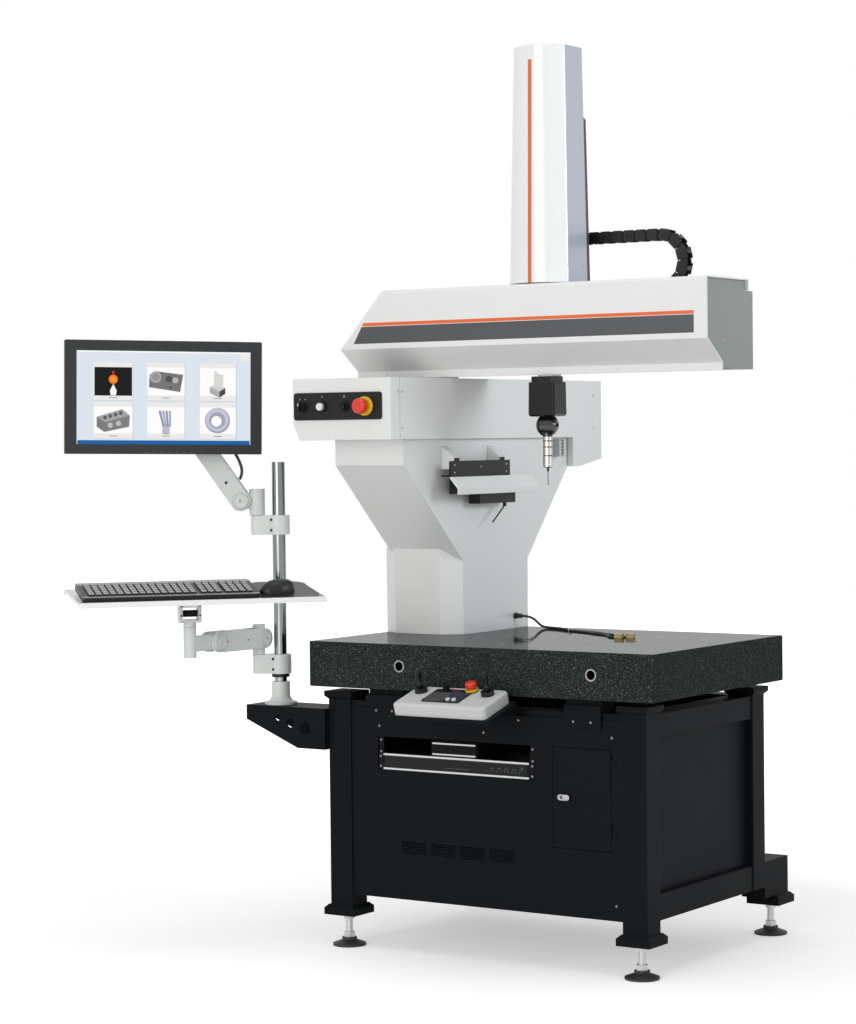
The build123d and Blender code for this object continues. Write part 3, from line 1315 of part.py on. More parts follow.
tray_y = (-tray_ahead - tray_deep / 2, -tray_ahead + tray_deep / 2)
tray_x = around(tray_shift, tray_wide)
with BuildPart() as keyboard_tray:
    tray_slab(tray_lean, tray_x, tray_y, (tray_under, tray_under + tray_sheet))
    for y in ((tray_y[0], tray_y[0] + 6), (tray_y[1] - 6, tray_y[1])):
        tray_slab(tray_lean, tray_x, y, (tray_under - 5, tray_under + tray_lip))
    for x in ((tray_x[0], tray_x[0] + 4), (tray_x[1] - 4, tray_x[1])):
        tray_slab(tray_lean, x, tray_y, (tray_under, tray_under + tray_lip))
    tray_slab(tray_lean, (-ear_reach - 6, ear_reach + 6), (-26, 30), (tray_under - 5, tray_under))
    lug = (-lug_wide / 2 + sliding_gap, lug_wide / 2 - sliding_gap)
    tray_slab(tray_lean, lug, (-12, 12), (-10, tray_under))
    tilt_pin(ear_reach, 5 + running_gap, Mode.SUBTRACT)
keep("keyboard_tray", keyboard_tray.part)

# Keyboard with separate keys, and a mouse on its pad
board_wide = 460
board_deep = 152
board_high = 16
board_x = (tray_x[0] + 16, tray_x[0] + 16 + board_wide)
board_y = (tray_y[0] + 22, tray_y[0] + 22 + board_deep)
board_z = tray_under + tray_sheet
board_tilt = 6
board_lean = leaning(board_y[0], board_z, tray_tilt + board_tilt)
key_side = 15.6
key_pitch = 18.8
key_lift = 5
key_columns = 15
key_rows = 6
pad_columns = 4
with BuildPart() as keyboard_body:
    tray_slab(board_lean, board_x, (0, board_deep), (0, board_high))
    fillet(keyboard_body.edges().filter_by(Axis(tilt_frame.origin, tuple(board_lean.z_dir))), 8)
    for x in ((board_x[0] + 20, board_x[0] + 50), (board_x[1] - 50, board_x[1] - 20)):
        tray_slab(tray_lean, x, (board_y[1] - 24, board_y[1] - 14), (board_z, board_z + board_high))
with BuildPart() as keys:
    with BuildSketch(board_lean.offset(board_high)) as key_plan:
        main_x = board_x[0] + 14 + key_columns * key_pitch / 2
        with Locations((main_x, board_deep / 2 - 8)):
            with GridLocations(key_pitch, key_pitch, key_columns, key_rows):
                Rectangle(key_side, key_side)
        for i, columns in ((0, 3), (1, pad_columns)):
            block_left = main_x + key_columns * key_pitch / 2 + 10 + i * (3 * key_pitch + 8)
            with Locations((block_left + columns * key_pitch / 2, board_deep / 2 - 8)):
                with GridLocations(key_pitch, key_pitch, columns, key_rows):
                    Rectangle(key_side, key_side)
    extrude(key_plan.sketch, amount=key_lift, taper=8)
pad_x = (board_x[1] + 8, tray_x[1] - 10)
pad_y = (tray_y[0] + 12, tray_y[1] - 12)
pad_low = 3
pad_rise = 10
pad_side = Plane(origin=tuple(tray_lean.from_local_coords(Vector(pad_x[0], 0, board_z))),
                 x_dir=tuple(tray_lean.y_dir), z_dir=wide_dir)
with BuildPart() as mouse_pad:
    prism(pad_side, [(pad_y[0], 0), (pad_y[1], 0), (pad_y[1], pad_low + pad_rise), (pad_y[0], pad_low)],
          pad_x[1] - pad_x[0])
    fillet(mouse_pad.edges().filter_by(Axis(tilt_frame.origin, tuple(tray_lean.z_dir))), 40)
mouse_at = (sum(pad_x) / 2 - 26, 76)
mouse_long = 98
mouse_wide = 62
mouse_high = 33
mouse_turn = 12
pad_lean = leaning(pad_y[0], board_z + pad_low, tray_tilt + degrees(pad_rise / (pad_y[1] - pad_y[0])))
with BuildPart() as mouse:
    with BuildSketch(pad_lean) as mouse_plan:
        with Locations(mouse_at):
            Ellipse(mouse_long / 2, mouse_wide / 2, rotation=mouse_turn)
    with BuildSketch(pad_lean.offset(mouse_high * 0.55)) as mouse_waist:
        with Locations((mouse_at[0] + 3, mouse_at[1])):
            Ellipse(mouse_long * 0.45, mouse_wide * 0.44, rotation=mouse_turn)
    with BuildSketch(pad_lean.offset(mouse_high)) as mouse_crown:
        with Locations((mouse_at[0] + 9, mouse_at[1] + 2)):
            Ellipse(mouse_long * 0.22, mouse_wide * 0.2, rotation=mouse_turn)
    loft([mouse_plan.sketch, mouse_waist.sketch, mouse_crown.sketch])
keep("keyboard", keyboard_body.part, keys.part, mouse_pad.part, mouse.part)

# Monitor arm: a turning base, a forked lifting arm, a levelled yoke, a swivel and the screen
screen_heading = arm_view
screen_z = 1181
screen_set = 43
screen_arm_long = 338
screen_arm_angle = 55.6
screen_base = arm_frame(screen_heading, (pivot_x, pivot_y, screen_z))
screen_clamp_top = upper_clamp_z + clamp_high / 2
arm_frame_at = screen_base.from_local_coords(Vector(screen_set, 0, 0))
lift_frame = arm_frame(screen_heading, tuple(arm_frame_at))
with BuildPart() as monitor_arm_base:
    rod((pivot_x, pivot_y, screen_clamp_top + sliding_gap), (pivot_x, pivot_y, screen_z + 32), barrel_r + 4)
    rod((pivot_x, pivot_y, screen_clamp_top - 20), (pivot_x, pivot_y, screen_z), pivot_pin_r)
    with BuildSketch(screen_base.offset(-tongue_half)) as shoulder:
        with Locations((screen_set, 0)):
            Circle(tongue_r)
        with Locations((screen_set / 2, 0)):
            Rectangle(screen_set, 2 * tongue_r)
    extrude(shoulder.sketch, amount=2 * tongue_half)
    pivot(screen_base, screen_set, 0, cheek_out, pivot_pin_r)
keep("monitor_arm_base", monitor_arm_base.part)

with BuildPart() as monitor_arm:
    fork_arm(lift_frame, screen_arm_long, screen_arm_angle)
keep("monitor_arm", monitor_arm.part)

lean = radians(screen_arm_angle)
arm_end = lift_frame.from_local_coords(Vector(screen_arm_long * cos(lean), screen_arm_long * sin(lean), 0))
yoke_reach = 45
swivel_at = Vector(arm_end.X + yoke_reach * out_x, arm_end.Y + yoke_reach * out_y, arm_end.Z)
end_frame = arm_frame(screen_heading, tuple(arm_end))
with BuildPart() as monitor_yoke:
    with BuildSketch(end_frame.offset(-tongue_half)) as yoke_plan:
        Circle(tongue_r)
    extrude(yoke_plan.sketch, amount=2 * tongue_half)
    with BuildSketch(end_frame.offset(-10)) as neck_side:
        with Locations((yoke_reach / 2, 0)):
            Rectangle(yoke_reach, 24)
    extrude(neck_side.sketch, amount=20)
    pivot(end_frame, 0, 0, cheek_out, pivot_pin_r)
    rod((swivel_at.X, swivel_at.Y, swivel_at.Z - 24), (swivel_at.X, swivel_at.Y, swivel_at.Z + 24), 13)
    rod((swivel_at.X, swivel_at.Y, swivel_at.Z - 24), (swivel_at.X, swivel_at.Y, swivel_at.Z + 24),
        pivot_pin_r + running_gap, Mode.SUBTRACT)
keep("monitor_yoke", monitor_yoke.part)

tilt_reach = 66
tilt_at = Vector(swivel_at.X + tilt_reach * ahead_dir[0], swivel_at.Y + tilt_reach * ahead_dir[1],
                 swivel_at.Z)
screen_frame = Plane(origin=tuple(tilt_at), x_dir=wide_dir, z_dir=(0, 0, 1))
screen_pin_r = 5
with BuildPart() as monitor_swivel:
    rod((swivel_at.X, swivel_at.Y, swivel_at.Z - 30), (swivel_at.X, swivel_at.Y, swivel_at.Z + 30),
        pivot_pin_r)
    for z in ((-32, -24 - sliding_gap), (24 + sliding_gap, 32)):
        tray_slab(screen_frame, (-13, 13), (14, tilt_reach + 11), z)
    tray_slab(screen_frame, (-30, 30), (14, 20), (-32, 32))
    for x in ((-30, -22.3), (22.3, 30)):
        tray_slab(screen_frame, x, (-10, 20), (-14, 14))
    pin_start = screen_frame.from_local_coords(Vector(-30, 0, 0))
    pin_end = screen_frame.from_local_coords(Vector(30, 0, 0))
    rod(tuple(pin_start), tuple(pin_end), screen_pin_r)
keep("monitor_swivel", monitor_swivel.part)

screen_wide = 528
screen_high = 300
screen_deep = 46
screen_rim = 16
bezel_side = 31
screen_shift = 9
screen_roll = 0.9
glass_drop = 1
screen_ahead = 18
glass_wide = screen_wide - 2 * bezel_side
glass_high = screen_high - 54
front_at = -screen_ahead - screen_deep
roll = radians(screen_roll)
bezel_plane = Plane(origin=tuple(screen_frame.from_local_coords(Vector(screen_shift, front_at, 0))),
                    x_dir=(wide_dir[0] * cos(roll), wide_dir[1] * cos(roll), -sin(roll)), z_dir=ahead_dir)
with BuildPart() as monitor_case:
    with BuildSketch(bezel_plane.offset(-screen_rim)) as bezel_outline:
        RectangleRounded(screen_wide, screen_high, 4)
    extrude(bezel_outline.sketch, amount=screen_rim)
    with BuildSketch(bezel_plane.offset(-screen_rim)) as case_outline:
        Rectangle(screen_wide - 24, screen_high - 24)
    extrude(case_outline.sketch, amount=-(screen_deep - screen_rim), taper=28)
    with BuildSketch(bezel_plane) as glass_cut:
        with Locations((0, -glass_drop)):
            Rectangle(glass_wide, glass_high)
    extrude(glass_cut.sketch, amount=-3, mode=Mode.SUBTRACT)
    tray_slab(screen_frame, (-50, 50), (-screen_ahead - 1, -screen_ahead + 1), (-50, 50))
    lug_limits = (-22 + sliding_gap, 22 - sliding_gap)
    tray_slab(screen_frame, lug_limits, (-screen_ahead, 8), (-10, 10))
    start = screen_frame.from_local_coords(Vector(-30, 0, 0))
    end = screen_frame.from_local_coords(Vector(30, 0, 0))
    rod(tuple(start), tuple(end), screen_pin_r + running_gap, Mode.SUBTRACT)
with BuildPart() as screen_glass:
    with BuildSketch(bezel_plane.offset(-3)) as glass_outline:
        with Locations((0, -glass_drop)):
            Rectangle(glass_wide, glass_high)
    extrude(glass_outline.sketch, amount=1.5)
keep("monitor", monitor_case.part, screen_glass.part)

# A short lead that the lifting arm holds along its upper side
cable_r = 4
cable_route = [(50, 30), (58, 48), (96, 60), (146, 62), (194, 54), (224, 43), (236, 30)]
cable_points = []
for s, up in cable_route:
    cable_points.append(lift_frame.from_local_coords(
        Vector(s * cos(lean) - up * sin(lean), s * sin(lean) + up * cos(lean), 0)))
with BuildPart() as monitor_cable:
    cord([tuple(p) for p in cable_points], cable_r)
keep("monitor_cable", monitor_cable.part)
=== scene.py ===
import math

import bmesh
import bpy
from mathutils import Matrix, Vector


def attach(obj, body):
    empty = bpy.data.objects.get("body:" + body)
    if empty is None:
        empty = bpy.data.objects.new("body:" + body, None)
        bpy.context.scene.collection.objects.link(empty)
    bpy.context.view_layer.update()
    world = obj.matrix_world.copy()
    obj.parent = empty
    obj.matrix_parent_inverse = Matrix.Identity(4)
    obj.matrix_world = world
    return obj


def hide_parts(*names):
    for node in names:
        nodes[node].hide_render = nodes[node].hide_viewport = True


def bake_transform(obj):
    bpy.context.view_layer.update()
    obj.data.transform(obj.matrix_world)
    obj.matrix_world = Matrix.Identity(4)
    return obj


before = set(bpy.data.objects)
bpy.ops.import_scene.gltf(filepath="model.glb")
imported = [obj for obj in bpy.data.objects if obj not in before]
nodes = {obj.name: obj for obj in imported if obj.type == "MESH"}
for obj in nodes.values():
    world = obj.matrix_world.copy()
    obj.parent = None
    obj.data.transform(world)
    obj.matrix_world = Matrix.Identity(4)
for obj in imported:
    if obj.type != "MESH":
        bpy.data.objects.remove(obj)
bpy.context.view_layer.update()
scene = bpy.context.scene
scene.view_settings.view_transform = "Standard"

# Camera
# It stands at the photograph's place, to the right of the machine's front and a little above the table.
# The lens fits the photograph's tall frame, and the small roll is the photograph's own.
eye = bpy.data.cameras.new("camera")
eye.sensor_fit = "AUTO"
eye.sensor_width = 36.0
eye.lens = 94.8
eye.clip_end = 60.0
camera = bpy.data.objects.new("camera", eye)
camera.matrix_world = (Matrix.Translation((3.9499, -5.9907, 1.3509))
                       @ Matrix.Rotation(math.radians(33.793), 4, "Z")
                       @ Matrix.Rotation(math.radians(90 - 1.619), 4, "X")
                       @ Matrix.Rotation(math.radians(-0.641), 4, "Z"))
scene.collection.objects.link(camera)
scene.camera = camera

# Stage
# A plain pale floor and world, with broad soft lamps that light the machine from the photograph's left.
# The floor and world show white to the camera and to reflections, and the floor keeps the machine's shadow.


class Sock:
    """One output of a shader node. Arithmetic on it adds Math nodes, and node() adds any other kind."""

    def __init__(self, tree, out=None):
        self.tree = tree
        self.out = out

    def node(self, kind, *values, output=0, sockets=None, **settings):
        """A node of any type: its settings come first, then the values or links of its sockets."""
        made = self.tree.nodes.new("ShaderNode" + kind)
        for setting, value in settings.items():
            setattr(made, setting, value)
        for key, value in (*enumerate(values), *(sockets or {}).items()):
            if isinstance(value, Sock):
                self.tree.links.new(value.out, made.inputs[key])
            elif value is not None:
                made.inputs[key].default_value = value
        return Sock(self.tree, made.outputs[output])

    def math(self, operation, *values):
        return self.node("Math", *values, operation=operation)

    def __add__(self, other):
        return self.math("ADD", self, other)

    def __radd__(self, other):
        return self.math("ADD", other, self)

    def __sub__(self, other):
        return self.math("SUBTRACT", self, other)

    def __rsub__(self, other):
        return self.math("SUBTRACT", other, self)

    def __mul__(self, other):
        return self.math("MULTIPLY", self, other)

    def __rmul__(self, other):
        return self.math("MULTIPLY", other, self)

    def __truediv__(self, other):
        return self.math("DIVIDE", self, other)

    def __rtruediv__(self, other):
        return self.math("DIVIDE", other, self)

    def __mod__(self, other):
        return self.math("FLOORED_MODULO", self, other)

    def __rmod__(self, other):
        return self.math("FLOORED_MODULO", other, self)

    def __gt__(self, other):
        return self.math("GREATER_THAN", self, other)

    def __lt__(self, other):
        return self.math("LESS_THAN", self, other)

    def __abs__(self):
        return self.math("ABSOLUTE", self)


class Finish:
    """One material: constants go on its shader's own sockets, and what varies is linked to them."""

    def __init__(self, name, colour, rough, metal=0.0, coat=0.0, specular=0.5):
        self.material = bpy.data.materials.new(name)
        self.material.use_nodes = True
        self.tree = self.material.node_tree
        self.shader = self.tree.nodes["Principled BSDF"]
        self.colour = (*colour, 1.0)
        for socket, value in (("Base Color", self.colour), ("Roughness", rough), ("Metallic", metal),
                              ("Coat Weight", coat), ("Specular IOR Level", specular)):
            self.shader.inputs[socket].default_value = value
        self.rough = rough
        self.place = Sock(self.tree).node("TexCoord", output="Object")
        self.face = Sock(self.tree).node("TexCoord", output="Normal")
        self.x, self.y, self.z = (self.place.node("SeparateXYZ", self.place, output=i) for i in range(3))

    def noise(self, scale, detail=2.0):
        return self.place.node("TexNoise", self.place, None, scale, detail)

    def along(self, direction, start=0.0):
        """The distance along a direction, from a starting value."""
        return self.place.node("VectorMath", self.place, direction, output="Value",
                               operation="DOT_PRODUCT") - start

    def mix(self, share, first, second):
        """A blend of two colours."""
        first, second = (c if isinstance(c, Sock) else (*c[:3], 1.0) for c in (first, second))
        return share.node("Mix", share, sockets={6: first, 7: second}, output=2, data_type="RGBA")

    def feed(self, socket, value):
        self.tree.links.new(value.out, self.shader.inputs[socket])
        return self

    def relief(self, scale, height, strength=0.3, edge=0.0015, detail=3.0):
        """A fine surface texture, over edges that are rounded in the shading."""
        rounded = self.place.node("Bevel", edge, samples=4)
        return self.feed("Normal", rounded.node("Bump", sockets={
            "Strength": strength, "Distance": height, "Height": self.noise(scale, detail),
            "Normal": rounded}))

    def rim(self, radius, gain=2.5):
        """One at sharp edges and nothing on flat faces, for wear and dust, and for the probe head's painted edge
        highlight.
        """
        soft = self.place.node("Bevel", radius, samples=4)
        hard = self.place.node("NewGeometry", output="Normal")
        return (1.0 - soft.node("VectorMath", soft, hard, output="Value", operation="DOT_PRODUCT")) * gain

    def cloudy(self, spread=0.04, scale=3.0, wear_and_glint=0.0, wear_and_glint_colour=(0.5, 0.5, 0.5)):
        """Slightly uneven colour and gloss, with edges of another colour where a share for them is given: rubbed
        wear on most finishes, a painted highlight on the probe head.
        """
        low = tuple(c * (1 - spread) for c in self.colour[:3])
        base = self.mix(self.noise(scale), low, self.colour)
        if wear_and_glint:
            base = self.mix(self.rim(0.002) * self.noise(35.0, 4.0) * wear_and_glint, base, wear_and_glint_colour)
        self.feed("Base Color", base)
        self.feed("Roughness", self.noise(scale * 2.3) * 0.12 + (self.rough - 0.06))
        return self

    def on(self, *names):
        """The finish of whole CAD pieces."""
        for name in names:
            slots = nodes[name].data.materials
            slots.clear()
            slots.append(self.material)
        return self


def shown(start):
    """One for what the camera sees, straight, in reflections or through glass, and nothing for other light."""
    camera_ray, glossy, through = (start.node("LightPath", output=ray) for ray in
                                   ("Is Camera Ray", "Is Glossy Ray", "Is Transmission Ray"))
    return start.math("MAXIMUM", camera_ray, start.math("MAXIMUM", glossy, through))


floor_half = 14.0
shade_from, shade_to, shade_tone = 1.3, 2.6, 0.42
world_light = 0.44
floor_mesh = bpy.data.meshes.new("floor")
shape = bmesh.new()
bmesh.ops.create_grid(shape, x_segments=1, y_segments=1, size=floor_half)
shape.to_mesh(floor_mesh)
shape.free()
floor = bpy.data.objects.new("floor", floor_mesh)
scene.collection.objects.link(floor)
floor_finish = Finish("floor", (0.9, 0.9, 0.9), 0.8, specular=0.05)
floor_finish.cloudy(0.01, 0.4)
# Painted light: the floor glows to the camera and in reflections, 0.42 within 1.3 m of the origin so the
# machine's shadow shows, rising to white at 2.6 m, where the lamps' light falls off.
away = floor_finish.place.node("VectorMath", floor_finish.place, output="Value", operation="LENGTH")
away = away.node("MapRange", away, shade_from, shade_to, 0.0, 1.0)
glare = floor_finish.mix(away, (shade_tone, shade_tone, shade_tone), (1.0, 1.0, 1.0))
floor_finish.feed("Emission Color", floor_finish.mix(shown(floor_finish.place), (0.0, 0.0, 0.0), glare))
floor_finish.shader.inputs["Emission Strength"].default_value = 1.0
floor_mesh.materials.append(floor_finish.material)
world = bpy.data.worlds.new("studio")
scene.world = world
world.use_nodes = True
ground = world.node_tree.nodes["Background"]
ground.inputs["Color"].default_value = (1.0, 1.0, 1.0, 1.0)
strength = shown(Sock(world.node_tree)) * (1.0 - world_light) + world_light
world.node_tree.links.new(strength.out, ground.inputs["Strength"])
for name, place, aim, size, power, spread, colour in (
        ("key", (0.2, -6.6, 2.5), (-0.1, 0.0, 1.0), 3.4, 128.0, 180, (1.0, 0.99, 0.97)),
        ("bounce", (0.9, -5.4, 0.7), (-0.3, 0.0, 1.0), 2.6, 40.0, 180, (0.98, 0.99, 1.0)),
        ("fill", (5.2, 1.0, 2.9), (0.2, 0.1, 2.0), 2.0, 9.0, 40, (0.86, 0.93, 1.0)),
        ("top", (0.3, -0.8, 5.2), (0.2, 0.0, 0.0), 3.0, 50.0, 180, (1.0, 1.0, 1.0))):
    lamp = bpy.data.lights.new(name, "AREA")
    lamp.size = size
    lamp.spread = math.radians(spread)
    lamp.energy = power
    lamp.color = colour
    lit = bpy.data.objects.new(name, lamp)
    lit.location = place
    lit.rotation_euler = (Vector(aim) - Vector(place)).to_track_quat("-Z", "Y").to_euler()
    scene.collection.objects.link(lit)

# Stand
# Square tube with a satin charcoal powder coat: a fine orange-peel bump, uneven gloss and slightly rubbed edges.
# The panels have a smoother coat, and socket screws hold the panels, the rack and the support plates.
coat = Finish("powder_coat", (0.009, 0.0108, 0.0126), 0.44, specular=0.03)
coat.cloudy(0.2, 2.2, 0.35, (0.06, 0.062, 0.066)).relief(1400.0, 0.00015, 0.35, 0.003)
coat.on("stand_frame", "side_panels", "table_supports", "arm_bracket", "remote_shelf")
panel_coat = Finish("panel_coat", (0.0075, 0.0092, 0.011), 0.4, specular=0.04)
panel_coat.cloudy(0.18, 1.6, 0.3, (0.05, 0.052, 0.056)).relief(1400.0, 0.00012, 0.3, 0.0015)
panel_coat.on("front_panel", "cabinet_door")

repeat = bpy.data.node_groups.new("repeat", "GeometryNodeTree")
for label, kind in (("Points", "Geometry"), ("Piece", "Object"), ("Spin", "Float"), ("Seed", "Int"),
                    ("Finish", "Material")):
    repeat.interface.new_socket(label, in_out="INPUT", socket_type="NodeSocket" + kind)
repeat.interface.new_socket("Mesh", in_out="OUTPUT", socket_type="NodeSocketGeometry")
into = repeat.nodes.new("NodeGroupInput")
turn = repeat.nodes.new("GeometryNodeInputNamedAttribute")
turn.data_type = "FLOAT_VECTOR"
turn.inputs["Name"].default_value = "turn"
piece = repeat.nodes.new("GeometryNodeObjectInfo")
chance = repeat.nodes.new("FunctionNodeRandomValue")
spin = repeat.nodes.new("ShaderNodeCombineXYZ")
spread = repeat.nodes.new("GeometryNodeInstanceOnPoints")
twist = repeat.nodes.new("GeometryNodeRotateInstances")
real = repeat.nodes.new("GeometryNodeRealizeInstances")
dress = repeat.nodes.new("GeometryNodeSetMaterial")
result = repeat.nodes.new("NodeGroupOutput")
for source, target in ((into.outputs["Points"], spread.inputs["Points"]),
                       (into.outputs["Piece"], piece.inputs["Object"]),
                       (piece.outputs["Geometry"], spread.inputs["Instance"]),
                       (turn.outputs["Attribute"], spread.inputs["Rotation"]),
                       (into.outputs["Spin"], chance.inputs[3]),
                       (into.outputs["Seed"], chance.inputs["Seed"]),
                       (chance.outputs[1], spin.inputs["Z"]),
                       (spread.outputs[0], twist.inputs["Instances"]),
                       (spin.outputs[0], twist.inputs["Rotation"]),
                       (twist.outputs[0], real.inputs[0]),
                       (real.outputs[0], dress.inputs["Geometry"]),
                       (into.outputs["Finish"], dress.inputs["Material"]),
                       (dress.outputs[0], result.inputs[0])):
    repeat.links.new(source, target)


def scatter(name, template, places, finish, spin=0.0, seed=1):
    """Copies of one small mesh at listed places, each with its own turn, as one plain mesh object."""
    points = bpy.data.meshes.new(name + "_points")
    points.from_pydata([tuple(place) for place, _ in places], [], [])
    turns = points.attributes.new("turn", "FLOAT_VECTOR", "POINT")
    turns.data.foreach_set("vector", [c for _, turn in places for c in turn])
    model = bpy.data.objects.new(name + "_model", template)
    holder = bpy.data.objects.new(name + "_holder", points)
    for each in (model, holder):
        scene.collection.objects.link(each)
    modifier = holder.modifiers.new("repeat", "NODES")
    modifier.node_group = repeat
    values = {"Piece": model, "Spin": spin, "Seed": seed, "Finish": finish.material}
    for item in repeat.interface.items_tree:
        if item.in_out == "INPUT" and item.name in values:
            modifier[item.identifier] = values[item.name]
    ready = holder.evaluated_get(bpy.context.evaluated_depsgraph_get())
    made = bpy.data.objects.new(name, bpy.data.meshes.new_from_object(ready))
    made.data.name = name
    for each in (holder, model):
        bpy.data.objects.remove(each)
    scene.collection.objects.link(made)
    return made


def lathe(name, outline, segments=20):
    """A turned mesh from pairs of radius and height in millimetres."""
    shape = bmesh.new()
    rings = []
    for radius, height in outline:
        if radius == 0:
            rings.append([shape.verts.new((0, 0, height / 1000))])
            continue
        ring = []
        for i in range(segments):
            angle = 2 * math.pi * i / segments
            ring.append(shape.verts.new((radius * math.cos(angle) / 1000, radius * math.sin(angle) / 1000,
                                         height / 1000)))
        rings.append(ring)
    for low, high in zip(rings, rings[1:]):
        for i in range(segments):
            j = (i + 1) % segments
            if len(high) == 1:
                shape.faces.new((low[i], low[j], high[0]))
            elif len(low) == 1:
                shape.faces.new((low[0], high[j], high[i]))
            else:
                shape.faces.new((low[i], low[j], high[j], high[i]))
    bmesh.ops.remove_doubles(shape, verts=shape.verts, dist=1e-7)
    bmesh.ops.recalc_face_normals(shape, faces=shape.faces)
    made = bpy.data.meshes.new(name)
    shape.to_mesh(made)
    shape.free()
    return made


front = (0.0, math.pi / 2, -math.pi / 2)
right = (0.0, math.pi / 2, 0.0)
zinc = Finish("zinc_screw", (0.6, 0.6, 0.59), 0.34, metal=1.0)
zinc.feed("Roughness", zinc.noise(900.0) * 0.2 + 0.25)
zinc.feed("Base Color", zinc.mix(zinc.noise(500.0), (0.5, 0.5, 0.48), (0.68, 0.68, 0.67)))
bolt = lathe("socket_screw", [(0, -0.5), (3.6, -0.5), (3.6, 1.7), (3.0, 2.4), (1.9, 2.5), (1.7, 0.9), (0, 0.7)])
panel_screws = [((x / 1000, -0.209, z / 1000), front)
                for x, z in ((-55.6, 629.1), (-79.7, 593.5), (244.0, 592.0), (348.7, 628.7), (621.0, 598.0),
                             (630.0, 180.0))]
panel_screws += [((x / 1000, -0.215, 0.634), front) for x in (-85.0, -35.0, 514.0, 564.0)]
panel_screws += [((x / 1000, y / 1000, z / 1000), front) for x in (-77.0, 388.0)
                 for y, z in ((-205.0, 556.6), (-205.0, 526.1), (-207.5, 514.0), (-207.5, 488.0))]
dull = Finish("dull_screw", (0.2, 0.2, 0.2), 0.4, metal=1.0)
dull.feed("Base Color", dull.mix(dull.noise(500.0), (0.14, 0.14, 0.145), (0.26, 0.26, 0.26)))
dull.feed("Roughness", dull.noise(900.0) * 0.2 + 0.3)
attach(scatter("stand_screws", bolt, panel_screws, dull, math.pi, 3), "machine")

# Levelling feet
# Black pads on the floor under zinc-plated threaded studs, which screw into the stand's legs with a nut.
# One material tells the parts apart by height and draws the thread.
pad_top, stud_top, thread_pitch = 0.0222, 0.07, 0.002
foot = Finish("foot", (0.55, 0.56, 0.57), 0.32)
above = foot.z > pad_top
stud = above * (foot.z < stud_top)
thread = abs(((foot.z / thread_pitch) % 1.0) - 0.5) * stud
foot.feed("Base Color", foot.mix(above, (0.02, 0.02, 0.022), (0.55, 0.55, 0.54)))
foot.feed("Metallic", above)
foot.feed("Roughness", 0.55 - above * 0.25 + foot.noise(90.0) * 0.1 + thread * 0.3)
foot.on("levelling_feet")

# Rack units
# Dark units with bright edge strips: the flat controller below and a small unit on top of it.
# Small printed marks and lamps stand on the controller's front.
units = Finish("rack_units", (0.006, 0.006, 0.007), 0.4, specular=0.07)
wide_half, thin_half = 0.0026, 0.0019
controller_front, unit_front, unit_left, unit_right = -0.2085, -0.2065, 0.079, 0.222
strips = (abs(units.z - 0.4825) < wide_half) + (abs(units.z - 0.5195) < wide_half)
strips = strips * (units.y < controller_front)
small = ((abs(units.z - 0.528) < thin_half) + (abs(units.z - 0.556) < thin_half)) * (units.y < unit_front)
inside = small * (units.x > unit_left) * (units.x < unit_right)
bright = (strips + inside) > 0.5
base = units.mix(units.noise(30.0), (0.004, 0.004, 0.005), (0.008, 0.008, 0.009))
units.feed("Base Color", units.mix(bright, base, (0.5, 0.51, 0.51)))
units.feed("Metallic", bright * 0.8)
units.feed("Roughness", 0.42 - bright * 0.1 + units.noise(60.0) * 0.1)
units.relief(1500.0, 0.0001, 0.2, 0.0008)
units.on("rack_units")


def printed(name, origin, across, upward, shapes, finish):
    """Flat shapes in thin layers on a surface, in millimetres from an origin; each face keeps its own tint."""
    shape = bmesh.new()
    tint = shape.loops.layers.float_color.new("tint")
    across, upward, origin = Vector(across), Vector(upward), Vector(origin)
    outward = across.cross(upward)
    for outline, colour, layer in shapes:
        corners = [shape.verts.new(origin + (across * u + upward * v) / 1000 + outward * (layer * 0.0001))
                   for u, v in outline]
        face = shape.faces.new(corners)
        face.normal_update()
        if face.normal.dot(outward) < 0:
            face.normal_flip()
        for loop in face.loops:
            loop[tint] = (*colour, 1.0)
    mesh = bpy.data.meshes.new(name)
    shape.to_mesh(mesh)
    shape.free()
    mesh.materials.append(finish.material)
    made = bpy.data.objects.new(name, mesh)
    scene.collection.objects.link(made)
    return made


def box(u0, v0, u1, v1):
    return [(u0, v0), (u1, v0), (u1, v1), (u0, v1)]


def disc(u, v, radius, count=28, squash=1.0):
    angles = [2 * math.pi * i / count for i in range(count)]
    return [(u + radius * math.cos(a), v + squash * radius * math.sin(a)) for a in angles]


ink = Finish("printed_marks", (0.5, 0.5, 0.5), 0.45, specular=0.15)
tone = ink.place.node("Attribute", attribute_name="tint")
ink.feed("Base Color", ink.mix(ink.noise(200.0) * 0.06, tone, (0.1, 0.1, 0.1)))
ink.feed("Roughness", ink.noise(150.0) * 0.1 + 0.4)
marks = [(box(-64, 3.5, 372, 34.0), (0.007, 0.0075, 0.008), 1),
         (box(-64, 32.6, 372, 33.2), (0.09, 0.09, 0.09), 2)]
marks += [(disc(250 + 11 * i, 12, 1.3, 12), (0.16, 0.17, 0.18), 2) for i in range(10)]
marks += [(box(262 + 22 * i, 17, 272 + 22 * i, 21), (0.05, 0.052, 0.055), 2) for i in range(5)]
marks += [(disc(358, 24, 1.6, 12), (0.05, 0.5, 0.12), 3), (box(120, 10, 200, 12), (0.06, 0.06, 0.062), 2)]
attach(printed("controller_front", (0.0, -0.2076, 0.4825), (1, 0, 0), (0, 0, 1), marks, ink),
        "machine")

